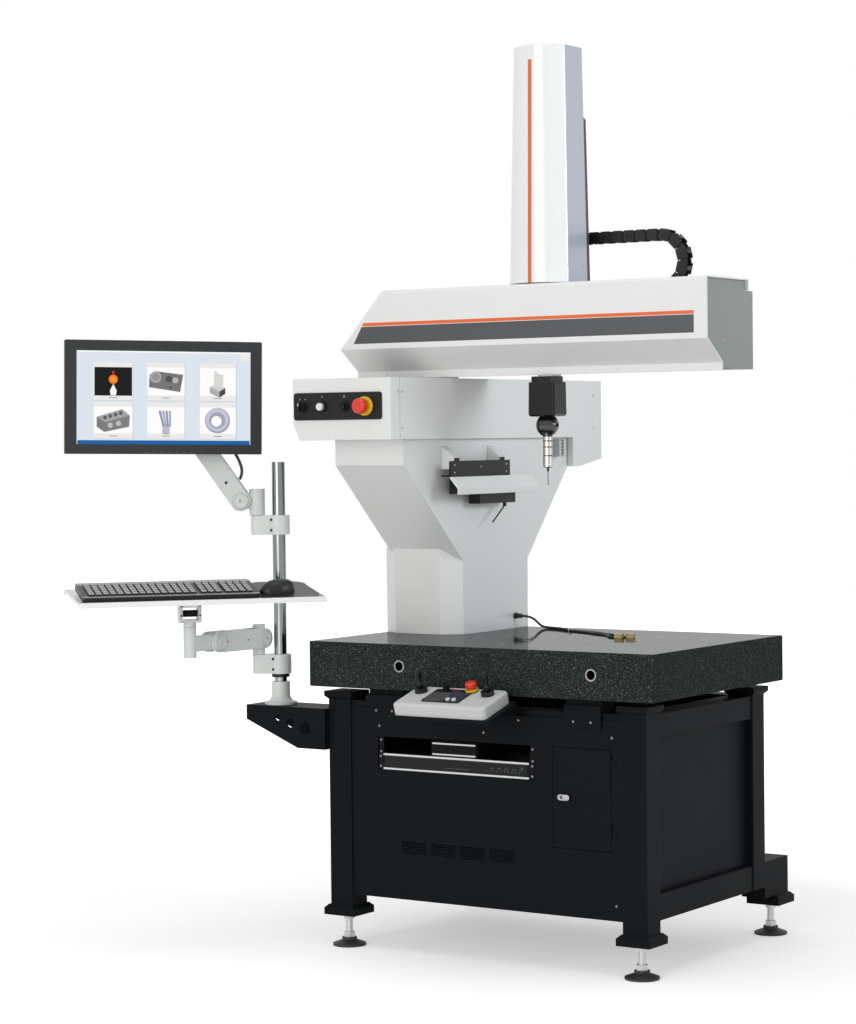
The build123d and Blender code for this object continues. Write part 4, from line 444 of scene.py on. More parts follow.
# Granite table
# Dark green-grey granite with fine pale and black speckle, lapped smooth on top and duller at its sides.
# Steel bushes and inserts have a fine turned sheen.
stone = Finish("granite", (0.03, 0.035, 0.034), 0.3, specular=0.0)
stone.shader.inputs["Coat Roughness"].default_value = 0.06
grains = stone.mix(stone.noise(130.0, 3.0), (0.006, 0.0085, 0.0085), (0.024, 0.03, 0.029))
grains = stone.mix(stone.noise(420.0, 2.0) > 0.6, grains, (0.07, 0.086, 0.084))
grains = stone.mix(stone.noise(290.0, 1.0) > 0.71, grains, (0.18, 0.21, 0.205))
lapped_from = 0.8115
top = stone.z > lapped_from
stone.feed("Base Color", grains)
stone.feed("Roughness", stone.noise(300.0) * 0.1 + 0.3 - top * 0.2)
stone.feed("Coat Weight", top * 0.42 + 0.06)
stone.on("granite_table")
ring = Finish("bush_steel", (0.26, 0.26, 0.26), 0.3, metal=1.0)
ring.feed("Roughness", ring.noise(500.0) * 0.2 + 0.22)
ring.feed("Base Color", ring.mix(ring.noise(160.0), (0.2, 0.2, 0.2), (0.34, 0.34, 0.33)))
ring.on("table_bushes")

# Column and guide
# Sheet covers in gloss warm-white paint with faint unevenness, and bare machined aluminium inside them.
# The guide's side has a seam between two sheets, and a few socket screws hold them.
white = Finish("cover_paint", (0.77, 0.785, 0.77), 0.34, coat=0.2)
white.cloudy(0.03, 1.4, 0.3, (0.6, 0.61, 0.6)).relief(900.0, 0.00008, 0.12, 0.0025)
white.on("column_cover", "rack_lid")
guide = Finish("guide_paint", (0.77, 0.785, 0.77), 0.34, coat=0.2)
seam_y, seam_half, guide_side = -0.2045, 0.0006, -0.0076
seam = (abs(guide.y - seam_y) < seam_half) * (guide.x > guide_side)
base = guide.mix(guide.noise(1.4), (0.75, 0.765, 0.75), (0.78, 0.795, 0.78))
guide.feed("Base Color", guide.mix(seam, base, (0.25, 0.26, 0.25)))
guide.feed("Roughness", guide.noise(4.0) * 0.1 + 0.3)
guide.relief(900.0, 0.00008, 0.12, 0.0025)
guide.on("guide_cover")
guide_screws = [((-0.007, y / 1000, z / 1000), right) for y, z in
                ((-213.2, 1467.0), (-195.5, 1467.0), (-195.8, 1371.7), (790.0, 1463.0), (790.0, 1369.0))]
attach(scatter("guide_screws", bolt, guide_screws, zinc, math.pi, 5), "machine")
inner = Finish("machined_aluminium", (0.55, 0.56, 0.57), 0.38, metal=1.0)
inner.feed("Roughness", inner.noise(160.0) * 0.15 + 0.32)
inner.on("y_guideway", "y_carriage", "x_carriage", "z_ram")

# Column fittings
# A grey connector box with dark sockets beside a bare white plate, both fixed to the column's side.
# Lower down is a black gland for the sensor lead.
fitting = Finish("side_fittings", (0.42, 0.43, 0.43), 0.45)
gland_below, plate_from = 0.9, 0.6215
gland = fitting.z < gland_below
plain = (fitting.y > plate_from) * (fitting.z > gland_below)
base = fitting.mix(plain, (0.36, 0.37, 0.37), (0.72, 0.73, 0.72))
fitting.feed("Base Color", fitting.mix(gland, base, (0.014, 0.014, 0.015)))
fitting.feed("Roughness", fitting.noise(80.0) * 0.12 + 0.38)
fitting.relief(1800.0, 0.0001, 0.2, 0.0008)
fitting.on("side_fittings")
sockets = [(box(2.5, -21, 10.5, 21), (0.62, 0.63, 0.62), 1)]
sockets += [(box(13 + 6 * i, -18 + 9 * j, 17 + 6 * i, -12 + 9 * j), (0.02, 0.02, 0.02), 1)
            for i in range(2) for j in range(5)]
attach(printed("connector_face", (-0.00495, 0.593, 1.312), (0, 1, 0), (0, 0, 1), sockets, ink),
        "machine")

# Sensor lead
# A dark bundle leaves the gland on the column's side and lies on the granite as far as its white tie.
# From there two thin leads run on to the two brass blocks.
sheath = Finish("lead_sheath", (0.02, 0.02, 0.022), 0.45)
sheath.cloudy(0.3, 60.0).relief(900.0, 0.0002, 0.3, 0.0003)
tie_mesh = lathe("lead_tie", [(3.2, -2.4), (5.4, -2.4), (5.8, -1.6), (5.8, 1.6), (5.4, 2.4), (3.2, 2.4),
                              (3.2, -2.4)], 18)
tie_white = Finish("tie_white", (0.75, 0.75, 0.73), 0.4)
tie_white.cloudy(0.08, 300.0).relief(2500.0, 0.0001, 0.2, 0.0004)
tie_place = ((0.171, 0.349, 0.8155), (0.0, math.pi / 2, math.radians(-33)))
tie = scatter("lead_tie", tie_mesh, [tie_place], tie_white)
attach(tie, "machine")


def laid_cord(name, points, radius, body, stands_for):
    """A round cord along a smooth line, held by a body, in place of a CAD piece."""
    line = bpy.data.curves.new(name, "CURVE")
    line.dimensions = "3D"
    line.bevel_depth = radius
    line.bevel_resolution = 4
    line.resolution_u = 12
    line.use_fill_caps = True
    run = line.splines.new("NURBS")
    run.points.add(len(points) - 1)
    for point, place in zip(run.points, points):
        point.co = (*place, 1.0)
    run.order_u = 3
    run.use_endpoint_u = True
    line.materials.append(sheath.material)
    lead = bpy.data.objects.new(name, line)
    scene.collection.objects.link(lead)
    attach(lead, body)
    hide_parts(stands_for)
    return lead


bundle_points = [(-0.005, 0.382, 0.847), (0.015, 0.382, 0.847), (0.029, 0.395, 0.838), (0.039, 0.404, 0.823),
                 (0.055, 0.406, 0.8155), (0.085, 0.4, 0.8155), (0.123, 0.383, 0.8155), (0.171, 0.349, 0.8155)]
near_points = [(0.171, 0.3455, 0.8145), (0.203, 0.327, 0.8145), (0.243, 0.313, 0.8145), (0.283, 0.283, 0.8145),
               (0.321, 0.265, 0.8145), (0.361, 0.231, 0.8145), (0.382, 0.189, 0.8145), (0.405, 0.189, 0.8145)]
far_points = [(0.171, 0.3525, 0.8145), (0.205, 0.343, 0.8145), (0.249, 0.327, 0.8145), (0.293, 0.303, 0.8145),
              (0.335, 0.271, 0.8145), (0.377, 0.251, 0.8145), (0.405, 0.206, 0.8145), (0.43, 0.206, 0.8145)]
for name, points, radius, length, held in (("lead_bundle", bundle_points, 0.0035, 0.207, [tie]),
                                           ("lead_near", near_points, 0.0025, 0.288, []),
                                           ("lead_far", far_points, 0.0025, 0.304, [])):
    lead = laid_cord(name, points, radius, "machine", "sensor_cable")
brass = Finish("brass", (0.62, 0.45, 0.2), 0.32, metal=1.0)
brass.feed("Roughness", brass.noise(400.0) * 0.15 + 0.26)
brass.feed("Base Color", brass.mix(brass.noise(120.0), (0.42, 0.32, 0.16), (0.58, 0.46, 0.26)))
brass.relief(1500.0, 0.0001, 0.2, 0.0008)
brass.on("sensor_blocks")

# Probe rack
# White wedge brackets on the column's side hold a satin black plate, a low black box and the white lid.
# Small socket screws fix the plate.
rack = Finish("rack_black", (0.01, 0.01, 0.011), 0.4, specular=0.2)
wedge_side, wedge_low = 0.0128, 1.2605
wedge = (rack.x < wedge_side) * (rack.z > wedge_low)
base = rack.mix(rack.noise(40.0), (0.006, 0.006, 0.007), (0.011, 0.011, 0.012))
rack.feed("Base Color", rack.mix(wedge, base, (0.74, 0.75, 0.74)))
rack.feed("Roughness", rack.noise(60.0) * 0.12 + 0.36)
rack.relief(1800.0, 0.0001, 0.25, 0.001)
rack.on("rack_mount")
rack_screws = [((0.019, y, z), right) for y in (0.012, 0.27) for z in (1.252, 1.272)]
rack_screws.append(((0.019, 0.142, 1.266), right))
small_bolt = lathe("small_screw", [(0, -0.4), (2.4, -0.4), (2.4, 1.0), (1.9, 1.5), (1.2, 1.5), (1.1, 0.5),
                                   (0, 0.4)], 16)
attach(scatter("rack_screws", small_bolt, rack_screws, zinc, math.pi, 7), "machine")

# Beam
# The same white paint, with an orange line over a dark band along the front face; both stop short of the ends.
# The right end plate is pale grey with one screw, and rivets hold the bottom strip.
beam = Finish("beam_paint", (0.78, 0.79, 0.775), 0.4, coat=0.08)
front_y, band_left, band_right, band_low, lean = -0.0302, -0.2748, 0.764, 1.6005, 0.59
band_z, band_half, line_z, line_half = 1.6235, 0.0228, 1.6521, 0.0044
signal_orange = (0.76, 0.125, 0.018)
slant = (beam.z - band_low) * lean + band_left
between = (beam.y < front_y) * (beam.x > slant) * (beam.x < band_right)
band = between * (abs(beam.z - band_z) < band_half)
line = between * (abs(beam.z - line_z) < line_half)
base = beam.mix(beam.noise(1.6), (0.775, 0.785, 0.775), (0.805, 0.815, 0.805))
base = beam.mix(beam.rim(0.002) * beam.noise(30.0, 4.0) * 0.3, base, (0.62, 0.63, 0.62))
base = beam.mix(band, base, beam.mix(beam.noise(8.0), (0.052, 0.056, 0.06), (0.06, 0.064, 0.069)))
beam.feed("Base Color", beam.mix(line, base, signal_orange))
beam.feed("Roughness", beam.noise(5.0) * 0.1 + 0.38)
beam.relief(900.0, 0.00008, 0.12, 0.003)
beam.on("beam_cover")
core = Finish("beam_core", (0.26, 0.28, 0.26), 0.42, specular=0.25)
core.cloudy(0.08, 3.0, 0.3, (0.2, 0.21, 0.2)).relief(1200.0, 0.0001, 0.2, 0.002)
core.on("beam_core")
beam_screws = [((0.793, 0.0747, 1.5836), right), ((0.793, 0.19, 1.54), right), ((0.793, 0.19, 1.69), right)]
beam_screws += [((x, 0.049, 1.517), front) for x in (-0.22, 0.02, 0.26, 0.5, 0.74)]
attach(scatter("beam_screws", small_bolt, beam_screws, zinc, math.pi, 9), "beam")

# Z head
# The tall cover has a gloss white bowed front with one orange line on its middle, and silver sides.
# Behind it stands a dark plate that also holds the cable chain.
shell = Finish("z_cover_paint", (0.8, 0.805, 0.8), 0.22, coat=0.25)
sides = shell.face.node("SeparateXYZ", shell.face)
flank = abs(sides) > 0.93
front_y, line_top, line_x, line_half, groove_half = 0.025, 2.323, 0.2775, 0.0042, 0.0056
strip = (shell.y < front_y) * (shell.z < line_top)
line = strip * (abs(shell.x - line_x) < line_half)
groove = strip * (abs(shell.x - line_x) < groove_half)
base = shell.mix(shell.noise(1.5), (0.8, 0.81, 0.805), (0.83, 0.84, 0.835))
base = shell.mix(flank, base, shell.mix(shell.noise(2.0), (0.4, 0.43, 0.475), (0.46, 0.49, 0.53)))
base = shell.mix(groove, base, (0.42, 0.22, 0.15))
shell.feed("Base Color", shell.mix(line, base, signal_orange))
shell.feed("Metallic", flank * 0.2)
shell.feed("Roughness", shell.noise(4.0) * 0.08 + 0.17 + flank * 0.14)
shell.relief(1100.0, 0.00006, 0.1, 0.002)
shell.on("z_cover")
dark_case = Finish("dark_case", (0.03, 0.032, 0.04), 0.42)
dark_case.cloudy(0.2, 12.0, 0.4, (0.12, 0.12, 0.13)).relief(1500.0, 0.00015, 0.3, 0.0015)
dark_case.on("z_rear_plate")
head_screws = [((0.3665, y, 1.79), right) for y in (0.105, 0.03)]
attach(scatter("head_screw", small_bolt, head_screws, zinc, math.pi, 11), "head")

# Cable chain
# Moulded black links: two side plates with a raised pad, cross bars over and under them, and a narrower tongue
# that runs into the next link. The straight runs stay where they are laid, and the bend rides on the loop.
shape = bmesh.new()
for size, place in (((31.0, 4.0, 31.0), (0.0, 15.0, 0.0)), ((31.0, 4.0, 31.0), (0.0, -15.0, 0.0)),
                    ((17.0, 1.2, 21.0), (-3.0, 17.4, 0.0)), ((17.0, 1.2, 21.0), (-3.0, -17.4, 0.0)),
                    ((15.0, 27.0, 3.6), (-2.0, 0.0, 14.0)), ((15.0, 27.0, 3.6), (-2.0, 0.0, -14.0)),
                    ((20.0, 2.6, 20.0), (17.0, 11.4, 0.0)), ((20.0, 2.6, 20.0), (17.0, -11.4, 0.0))):
    made = bmesh.ops.create_cube(shape, size=1.0)["verts"]
    for vert in made:
        vert.co = Vector([(vert.co[i] * size[i] + place[i]) / 1000 for i in range(3)])
    edges = list({edge for vert in made for edge in vert.link_edges})
    bmesh.ops.bevel(shape, geom=edges, offset=0.0009 if size[1] < 3 else 0.0018, segments=2, affect="EDGES")
link = bpy.data.meshes.new("chain_link")
shape.to_mesh(link)
shape.free()
moulded = Finish("chain_links", (0.013, 0.014, 0.016), 0.4, specular=0.25)
moulded.cloudy(0.4, 50.0, 0.6, (0.09, 0.09, 0.095)).relief(1600.0, 0.0002, 0.3, 0.0008)
loop_x, chain_y, low_z, high_z, radius, link_pitch = 0.537, 0.216, 1.728, 1.869, 0.0705, 0.035
upper = [((loop_x - link_pitch * (i + 0.5), chain_y, high_z), (0.0, 0.0, 0.0)) for i in range(7)]
lower = [((loop_x - link_pitch * (i + 0.5), chain_y, low_z), (0.0, math.pi, 0.0)) for i in range(4)]
bend = []
for i in range(6):
    angle = math.radians(90 - 30 * (i + 0.5))
    bend.append(((loop_x + radius * math.cos(angle), chain_y, (low_z + high_z) / 2 + radius * math.sin(angle)),
                 (0.0, math.pi / 2 - angle, 0.0)))
for name, places, start, end in (("chain_upper", upper, 0.782, 0.292), ("chain_lower", lower, 0.397, 0.677)):
    run = scatter(name + "_links", link, places, moulded)
    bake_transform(run)
    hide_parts(name)
turned = scatter("chain_loop_links", link, bend, moulded)
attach(turned, "loop")
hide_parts("chain_loop")

# Probe
# A satin black head under the ram holds a glossy dark swivel joint.
# The steel module in the joint has dark rings and a thin stylus with a ruby tip.
head = Finish("probe_head", (0.004, 0.004, 0.005), 0.24, specular=0.3)
# Its edges are painted pale in patches, a painted highlight on the bevels.
head.cloudy(0.3, 40.0, 1.2, (0.2, 0.2, 0.2)).relief(2200.0, 0.00008, 0.25, 0.0015)
head.on("probe_head")
knuckle = Finish("probe_joint", (0.012, 0.012, 0.013), 0.2, coat=0.4)
knuckle.cloudy(0.3, 60.0).relief(2200.0, 0.00005, 0.15, 0.0008)
knuckle.on("probe_yoke", "probe_ball")
module = Finish("probe_module", (0.55, 0.55, 0.56), 0.28, metal=1.0)
ring_half, stylus_top, tip_top = 0.0014, 1.2655, 1.2232
rings = module.z < stylus_top
for ring_z in (1.334, 1.318, 1.295):
    rings = rings + (abs(module.z - ring_z) < ring_half)
tip = module.z < tip_top
base = module.mix(module.noise(90.0), (0.42, 0.4, 0.37), (0.5, 0.49, 0.47))
base = module.mix(rings > 0.5, base, (0.03, 0.03, 0.03))
module.feed("Base Color", module.mix(tip, base, (0.5, 0.02, 0.03)))
module.feed("Roughness", module.noise(300.0) * 0.1 + 0.24)
module.on("probe_module")

# Switch panel
# A black plate with dark bezels and a yellow collar behind the red mushroom.
# A bar and a ring mark the two push buttons, and two dots the selector's places.
plate = Finish("switch_plate", (0.009, 0.009, 0.01), 0.4, specular=0.2)
collar_x, collar_half, plate_front = -0.085, 0.026, -0.2501
white_ink, signal_yellow = (0.75, 0.75, 0.74), (0.75, 0.5, 0.02)
yellow = (abs(plate.x - collar_x) < collar_half) * (plate.y < plate_front)
base = plate.mix(plate.noise(30.0), (0.008, 0.0085, 0.009), (0.013, 0.0135, 0.014))
plate.feed("Base Color", plate.mix(yellow, base, signal_yellow))
plate.feed("Roughness", plate.noise(60.0) * 0.12 + 0.36)
plate.relief(1800.0, 0.0001, 0.2, 0.001)
plate.on("control_panel")
marks = [(box(-223.6, 23.5, -222.4, 28.5), white_ink, 1), (disc(-152, 26, 2.8, 20), white_ink, 1),
         (disc(-152, 26, 2.0, 20), (0.016, 0.016, 0.017), 2), (disc(-296, 20, 1.3, 12), white_ink, 1),
         (disc(-278, 20, 1.3, 12), white_ink, 1)]
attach(printed("switch_marks", (0.0, -0.25005, 1.43), (1, 0, 0), (0, 0, 1), marks, ink),
        "machine")
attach(printed("selector_mark", (-0.287, -0.27135, 1.43), (1, 0, 0), (0, 0, 1),
                [(box(-1.2, 2.0, 1.2, 10.0), white_ink, 1)], ink), "selector")
black = Finish("black_plastic", (0.006, 0.006, 0.007), 0.32, specular=0.2)
black.cloudy(0.3, 60.0, 0.5, (0.08, 0.08, 0.08)).relief(2400.0, 0.0001, 0.3, 0.0008)
black.on("selector_knob", "black_button", "stick_gimbal", "stick_left", "stick_right", "speed_knob")
pale_plastic = Finish("pale_plastic", (0.76, 0.76, 0.74), 0.38)
pale_plastic.cloudy(0.04, 20.0).relief(2000.0, 0.00006, 0.15, 0.001)
pale_plastic.on("white_button", "remote_button_left", "remote_button_right")
red = Finish("stop_red", (0.74, 0.036, 0.016), 0.32, coat=0.1)
red.cloudy(0.15, 40.0).relief(2000.0, 0.00006, 0.15, 0.001)
red.on("panel_estop", "remote_estop")

# Remote box
# A white moulded housing that leans back on its shelf, with a black keypad and its printed key frames.
# The stick bases are black, and a yellow collar lies under the stop button.
remote = Finish("remote_housing", (0.72, 0.73, 0.715), 0.38, specular=0.3)
lean, base_y, base_z = math.radians(16), -0.3345, 0.664
keypad_up, collar_up, collar_x, collar_back, collar_square = 0.0322, 0.0355, 0.272, 0.04, 0.000292
face_up = Vector((0.0, -math.sin(lean), math.cos(lean)))
face_back = Vector((0.0, math.cos(lean), math.sin(lean)))
up = remote.along(face_up, base_z * math.cos(lean) - base_y * math.sin(lean))
back = remote.along(face_back, base_y * math.cos(lean) + base_z * math.sin(lean))
raised = up > keypad_up
aside, behind = remote.x - collar_x, back - collar_back
yellow = ((aside * aside + behind * behind) < collar_square) * (up > collar_up)
base = remote.mix(remote.noise(14.0), (0.56, 0.57, 0.56), (0.6, 0.61, 0.6))
base = remote.mix(raised, base, (0.007, 0.007, 0.009))
remote.feed("Base Color", remote.mix(yellow, base, signal_yellow))
remote.feed("Roughness", remote.noise(50.0) * 0.1 + 0.32)
remote.relief(1900.0, 0.0001, 0.2, 0.0015)
remote.on("remote_housing")
marks = [(box(-60, 17, 48, 18), (0.3, 0.3, 0.3), 1), (box(-8, 24, 16, 30), (0.35, 0.03, 0.03), 1)]
for i in range(4):
    for j in range(5):
        u, v = -58 + 14.5 * i, -38 + 11 * j
        marks += [(box(u, v, u + 12, v + 8.6), (0.26, 0.26, 0.26), 1),
                  (box(u + 0.8, v + 0.8, u + 11.2, v + 7.8), (0.008, 0.008, 0.01), 2),
                  (box(u + 3, v + 3.4, u + 9, v + 4.6), (0.42, 0.42, 0.42), 3)]
for i in range(3):
    for j in range(3):
        u, v = 3 + 14.5 * i, -16 + 11 * j
        marks += [(box(u, v, u + 12, v + 8.6), (0.12, 0.16, 0.34), 1),
                  (box(u + 0.8, v + 0.8, u + 11.2, v + 7.8), (0.012, 0.016, 0.04), 2)]
keypad = Vector((0.23, base_y, base_z)) + face_up * 0.03505
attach(printed("keypad_print", keypad, (1, 0, 0), face_back, marks, ink), "machine")

# Door latch
# A folding handle of polished chrome with faint wear, set in the door.
# A round lock with its slot and a dark line are marked on its face.
chrome = Finish("chrome", (0.3, 0.3, 0.31), 0.12, metal=1.0)
chrome.feed("Roughness", chrome.noise(60.0, 4.0) * 0.12 + 0.07)
chrome.relief(800.0, 0.00005, 0.1, 0.0012)
chrome.feed("Base Color", chrome.mix(chrome.noise(70.0), (0.24, 0.24, 0.25), (0.36, 0.36, 0.37)))
chrome.on("door_latch")
slot_marks = [(disc(0, 0, 4.6, 24), (0.3, 0.3, 0.3), 1), (disc(0, 0, 3.8, 24), (0.02, 0.02, 0.02), 2),
              (box(-0.7, -3.0, 0.7, 3.0), (0.4, 0.4, 0.4), 3), (box(6, -5.6, 19, -4.8), (0.03, 0.03, 0.03), 1)]
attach(printed("latch_lock", (0.4778, -0.21805, 0.442), (1, 0, 0), (0, 0, 1), slot_marks, ink), "latch")

# Post
# A chrome tube in a pale foot on the bracket, with a dark collar low on the tube.
# The two pale plastic clamps, told apart by height, have two screws each.
post = Finish("post", (0.7, 0.7, 0.71), 0.15)
foot_top, clamps_z, clamp_half = 0.694, (0.741, 1.116), 0.0262
clamp = post.z < foot_top
for clamp_z in clamps_z:
    clamp = clamp + (abs(post.z - clamp_z) < clamp_half)
clamp = clamp > 0.5
post.feed("Base Color", post.mix(clamp, (0.22, 0.235, 0.235), (0.68, 0.71, 0.685)))
post.feed("Metallic", 1.0 - clamp)
post.feed("Roughness", post.noise(60.0, 3.0) * 0.1 + 0.08 + clamp * 0.28)
post.relief(1500.0, 0.00006, 0.15, 0.0015)
post.on("arm_post")
round_side = (0.0, math.pi / 2, math.radians(-96.3))
clamp_screws = [((-0.4282, -0.2064, z + dz), round_side) for z in clamps_z for dz in (-0.014, 0.014)]
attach(scatter("clamp_screws", bolt, clamp_screws, black, math.pi, 13), "machine")
collar = lathe("post_collar", [(18.0, 0.0), (24.0, 0.0), (24.5, 1.0), (24.5, 8.0), (23.5, 9.0), (18.0, 9.0),
                               (18.0, 0.0)], 32)
collar_place = ((-0.425, -0.177, 0.7055), (0.0, 0.0, 0.0))
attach(scatter("post_collar", collar, [collar_place], black), "machine")

# Operator's arms
# Pale grey-green moulded plastic with a fine texture. Each pivot has a raised ring and a screw of its colour.
# Dark plugs close the arms' holes, and dark bolts and a spring hold the tray's tilter.
arm = Finish("arm_plastic", (0.66, 0.69, 0.665), 0.42)
arm.cloudy(0.06, 9.0, 0.4, (0.5, 0.53, 0.51)).relief(1800.0, 0.0001, 0.2, 0.003)
arm.on("monitor_arm_base", "monitor_arm", "monitor_yoke", "monitor_swivel", "keyboard_arm_base", "keyboard_arm",
       "tray_barrel", "tray_tilter")
pivot_ring = lathe("pivot_ring", [(21.2, -0.3), (20.0, 0.9), (15.4, 0.9), (15.0, -0.3), (21.2, -0.3)], 36)
pivot_screw = lathe("pivot_screw", [(0, -0.3), (5.5, -0.3), (5.5, 0.8), (4.8, 1.4), (3.0, 1.4), (2.8, 0.2),
                                    (0, 0.1)], 24)
for name, body, tilt_z, places in (
        ("key_arm", "key_arm", 0.811, ((-493.27, -380.1), (-473.2, -209.27))),
        ("screen_arm_low", "screen_arm", 1.181, ((-508.93, -233.19),)),
        ("screen_arm_high", "screen_arm", 1.45989, ((-667.61, -339.42),))):
    out = Vector((0.99317, -0.11667, 0.0)) if body == "key_arm" else Vector((0.5563, -0.831, 0.0))
    for part, template in (("ring", pivot_ring), ("screw", pivot_screw)):
        spots = []
        for x, y in places:
            for side in (1, -1):
                spot = Vector((x / 1000, y / 1000, tilt_z)) + out * (0.0296 * side)
                spots.append((tuple(spot), (0.0, math.pi / 2, math.atan2(out.y * side, out.x * side))))
        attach(scatter(f"{name}_{part}", template, spots, arm, 0.5, 15), body)

along_key, key_side = Vector((-0.11667, -0.99317, 0.0)), Vector((0.99317, -0.11667, 0.0))
key_turn = (0.0, math.pi / 2, math.atan2(key_side.y, key_side.x))
key_holes = [(tuple(Vector((-0.4732, -0.20927, 0.811)) + along_key * s + key_side * 0.0256), key_turn)
             for s in (0.0676, 0.146)]
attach(scatter("key_arm_plugs", small_bolt, key_holes, black), "key_arm")
facing = (0.0, math.pi / 2, math.radians(-56.2))
screen_hole = ((-0.5263, -0.2756, 1.231), facing)
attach(scatter("screen_arm_plug", bolt, [screen_hole], black), "screen_arm")
wide_way, ahead_way = Vector((0.642788, 0.766044, 0.0)), Vector((0.766044, -0.642788, 0.0))
barrel = Vector((-0.5035, -0.4672, 0.0))
ear_front = (0.0, math.pi / 2, math.atan2(ahead_way.y, ahead_way.x))
ear_bolts = [(tuple(barrel + wide_way * side + ahead_way * 0.017 + Vector((0.0, 0.0, z))), ear_front)
             for side in (-0.025, 0.025) for z in (0.887, 0.912)]
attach(scatter("tilter_bolts", small_bolt, ear_bolts, black), "key_tilter")
coils = [(5.0, -20.0)]
for i in range(10):
    coils += [(8.6, -19.6 + 4 * i), (10.4, -18.0 + 4 * i), (8.6, -16.4 + 4 * i)]
spring = lathe("tilt_spring", coils + [(5.0, 20.0), (5.0, -20.0)], 20)
spring_place = (tuple(barrel + Vector((0.0, 0.0, 0.892))), (0.0, math.pi / 2, math.radians(50)))
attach(scatter("tilt_spring", spring, [spring_place], black), "key_tilter")

# Monitor lead
# A black cable in the same sheath as the sensor lead.
# The lifting arm holds it along its upper side.
cable_points = [(-0.5118, -0.2351, 1.2392), (-0.5032, -0.2294, 1.256), (-0.5129, -0.2358, 1.2941),
                (-0.535, -0.2506, 1.3365), (-0.563, -0.2694, 1.3716), (-0.5846, -0.2838, 1.3901),
                (-0.5992, -0.2936, 1.3927)]
lead = laid_cord("monitor_lead", cable_points, 0.004, "screen_arm", "monitor_cable")

# Monitor
# A dark textured case with a row of small keys, and a lit screen: a pale ground with six drawings of plain
# workpieces over a blue bar. The drawings are flat shapes in thin layers.
case = Finish("monitor_case", (0.026, 0.028, 0.03), 0.42, specular=0.25)
case.cloudy(0.15, 14.0, 0.5, (0.1, 0.1, 0.1)).relief(1600.0, 0.0001, 0.3, 0.0015)
case.on("monitor")
roll = math.radians(0.9)
across = Vector((0.642788 * math.cos(roll), 0.766044 * math.cos(roll), -math.sin(roll)))
ahead = ahead_way
rise = ahead.cross(across)
bezel = Vector((-0.59964, -0.44111, 1.45989))
glow = Finish("screen_glow", (0.004, 0.004, 0.004), 0.35, specular=0.08)
tone = glow.place.node("Attribute", attribute_name="tint")
glow.feed("Emission Color", glow.mix(glow.noise(60.0) * 0.012, tone, (0.4, 0.42, 0.45)))
glow.shader.inputs["Emission Strength"].default_value = 1.0


def spot(u, v):
    """A place on the screen from its shares of the width and of the height from the top."""
    return (-233 + 466 * u, 123 - 246 * v)


picture = [(box(-233, -123, 233, 123), (0.71, 0.77, 0.84), 1), (box(-233, 119, 233, 123), (0.93, 0.94, 0.95), 2),
           (box(-231, -123, 231, -112.5), (0.004, 0.115, 0.37), 2),
           (box(206, 100, 229, 119), (0.86, 0.84, 0.78), 2)]
for u0, u1 in ((0.097, 0.319), (0.403, 0.617), (0.706, 0.915)):
    for v0, v1 in ((0.125, 0.53), (0.55, 0.94)):
        left, high = spot(u0, v0)
        far, low = spot(u1, v1)
        picture += [(box(left, low - 1, far + 1.6, high), (0.5, 0.53, 0.57), 2),
                    (box(left, low, far, high), (0.82, 0.82, 0.81), 3),
                    (box(left, low + 14, far, high - 12), (0.97, 0.97, 0.97), 4),
                    (box((left + far) / 2 - 11, low + 6, (left + far) / 2 + 11, low + 8), (0.25, 0.25, 0.26), 4)]
u, v = spot(0.208, 0.33)
picture += [(box(u - 50, v - 37, u + 50, v + 38), (0.003, 0.003, 0.003), 5),
            (disc(u, v + 6, 12), (0.9, 0.2, 0.012), 6), (disc(u, v + 6, 6), (0.95, 0.35, 0.04), 7),
            (box(u - 3, v + 19, u + 3, v + 28), (0.55, 0.02, 0.02), 6),
            ([(u - 9, v - 24), (u - 7, v - 36), (u + 7, v - 36), (u + 9, v - 24), (u, v - 6)],
             (0.9, 0.9, 0.9), 6)]
u, v = spot(0.51, 0.33)
picture += [([(u - 46, v - 14), (u + 38, v - 26), (u + 46, v + 20), (u - 30, v + 29), (u - 44, v + 20)],
             (0.17, 0.175, 0.175), 5), (disc(u - 28, v + 13, 15), (0.42, 0.42, 0.42), 6),
            (disc(u - 28, v + 13, 11), (0.3, 0.3, 0.3), 7), (disc(u + 8, v + 8, 9), (0.08, 0.08, 0.08), 6),
            (disc(u + 25, v + 5, 8), (0.45, 0.45, 0.45), 6), (disc(u + 12, v - 14, 3), (0.05, 0.05, 0.05), 6)]
u, v = spot(0.81, 0.33)
picture += [([(u - 22, v - 12), (u + 4, v - 24), (u + 4, v - 40), (u - 22, v - 28)], (0.42, 0.42, 0.41), 5),
            ([(u + 4, v - 24), (u + 20, v - 14), (u + 20, v - 30), (u + 4, v - 40)], (0.06, 0.06, 0.06), 5),
            ([(u - 22, v - 12), (u - 2, v - 4), (u + 20, v - 14), (u + 4, v - 24)], (0.6, 0.6, 0.59), 6),
            ([(u - 12, v - 12), (u + 14, v - 14), (u + 15, v + 20), (u + 2, v + 24), (u - 10, v + 33)],
             (0.68, 0.68, 0.66), 7)]
u, v = spot(0.208, 0.74)
picture += [([(u - 44, v + 8), (u + 24, v + 29), (u + 44, v + 12), (u + 42, v - 18), (u - 24, v - 32),
              (u - 44, v - 18)], (0.2, 0.2, 0.2), 5),
            ([(u - 44, v + 8), (u + 24, v + 29), (u + 44, v + 12), (u - 20, v - 6)], (0.36, 0.36, 0.36), 6)]
picture += [(disc(u - 22 + 14 * i, v + 6 + 4 * i, 5), (0.1, 0.1, 0.1), 7) for i in range(4)]
picture += [(disc(u - 8 + 22 * i, v - 14 + 5 * i, 7), (0.5, 0.5, 0.5), 7) for i in range(2)]
u, v = spot(0.51, 0.74)
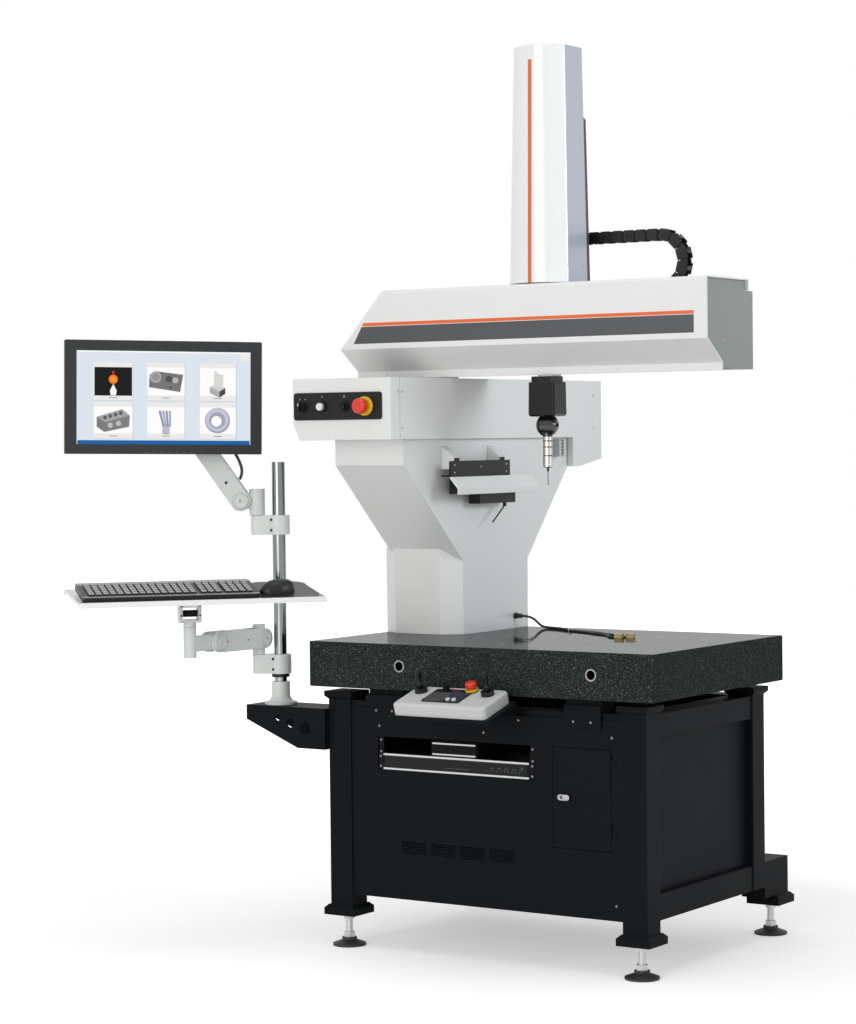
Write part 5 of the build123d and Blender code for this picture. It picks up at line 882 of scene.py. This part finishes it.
picture += [(box(u - 10, v - 34, u + 10, v - 10), (0.5, 0.5, 0.62), 5),
            (disc(u, v - 34, 10, 20, 0.4), (0.4, 0.4, 0.52), 5)]
for i in range(4):
    paler = 0.1 * (i % 2)
    blade = [(u - 20 + 9 * i, v + 24), (u - 14 + 9 * i, v + 26), (u - 4 + 6 * i, v - 16), (u - 9 + 6 * i, v - 18)]
    picture.append((blade, (0.28 + paler, 0.28 + paler, 0.42 + paler), 6))
u, v = spot(0.808, 0.74)
picture += [(disc(u, v, 34, 44), (0.33, 0.33, 0.44), 5), (disc(u - 1, v + 2, 31, 44), (0.55, 0.55, 0.68), 6),
            (disc(u - 1, v, 22, 36), (0.36, 0.36, 0.47), 7), (disc(u - 3, v - 2, 14, 32), (0.97, 0.97, 0.97), 8)]
glass = bezel - ahead * 0.00145 - rise * 0.001
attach(printed("screen_picture", glass, across, rise, picture, glow), "screen")
keys = [(box(-50 + 20 * i, -146, -44 + 20 * i, -145), (0.16, 0.16, 0.16), 1) for i in range(7)]
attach(printed("monitor_keys", bezel + ahead * 0.00005, across, rise, keys, ink), "screen")

# Keyboard tray
# White painted sheet steel with a rolled edge, on the tilter of its arm.
# It carries the keyboard, the mouse and the pad.
tray = Finish("tray_paint", (0.84, 0.85, 0.84), 0.32, coat=0.2)
tray.cloudy(0.04, 5.0, 0.4, (0.55, 0.56, 0.55)).relief(1200.0, 0.00008, 0.15, 0.0015)
tray.on("keyboard_tray")

# Keyboard and mouse
# Black keys with small pale marks in a black case, a satin black mouse and a dark pad, all lying on the tray.
# One material tells them apart by height and place in the keyboard's own leaning frame, and gives the key tops
# and the case's top border a lighter tone as a painted sheen.
keys = Finish("keyboard", (0.02, 0.02, 0.022), 0.42, specular=0.25)
height = keys.along((0.1501, -0.12596, 0.98061), 0.92581)
across_keys = keys.along((0.642788, 0.766044, 0.0), -0.68153)
deep = keys.along((-0.7511, 0.6303, 0.19595), 0.1283)
board_right, base_top, base_half, cap_from, key_pitch, keys_mid = 0.162, 0.016, 0.0007, 0.0206, 0.0188, 0.068
board = across_keys < board_right
plateau = board * (abs(height - base_top) < base_half) * (abs(deep - keys_mid) > 0.059)
cap = board * (height > cap_from)
column = ((across_keys + 0.287) / key_pitch) % 1.0
row = ((deep - keys_mid) / key_pitch) % 1.0
mark = cap * (abs(column - 0.4) < 0.09) * (abs(row - 0.62) < 0.1)
base = keys.mix(keys.noise(50.0), (0.01, 0.01, 0.011), (0.018, 0.018, 0.02))
# Painted sheen: the top faces of the key caps and of the case's border get a lighter tone for the light they
# catch; the keys' sides and the gaps keep the black plastic.
sheen_grey = keys.mix(keys.noise(90.0), (0.29, 0.298, 0.298), (0.36, 0.368, 0.368))
base = keys.mix((plateau + cap) > 0.5, base, sheen_grey)
base = keys.mix(mark, base, (0.42, 0.42, 0.42))
keys.feed("Base Color", base)
keys.feed("Roughness", keys.noise(80.0) * 0.12 + 0.32)
keys.relief(1800.0, 0.0001, 0.25, 0.0012)
keys.on("keyboard")
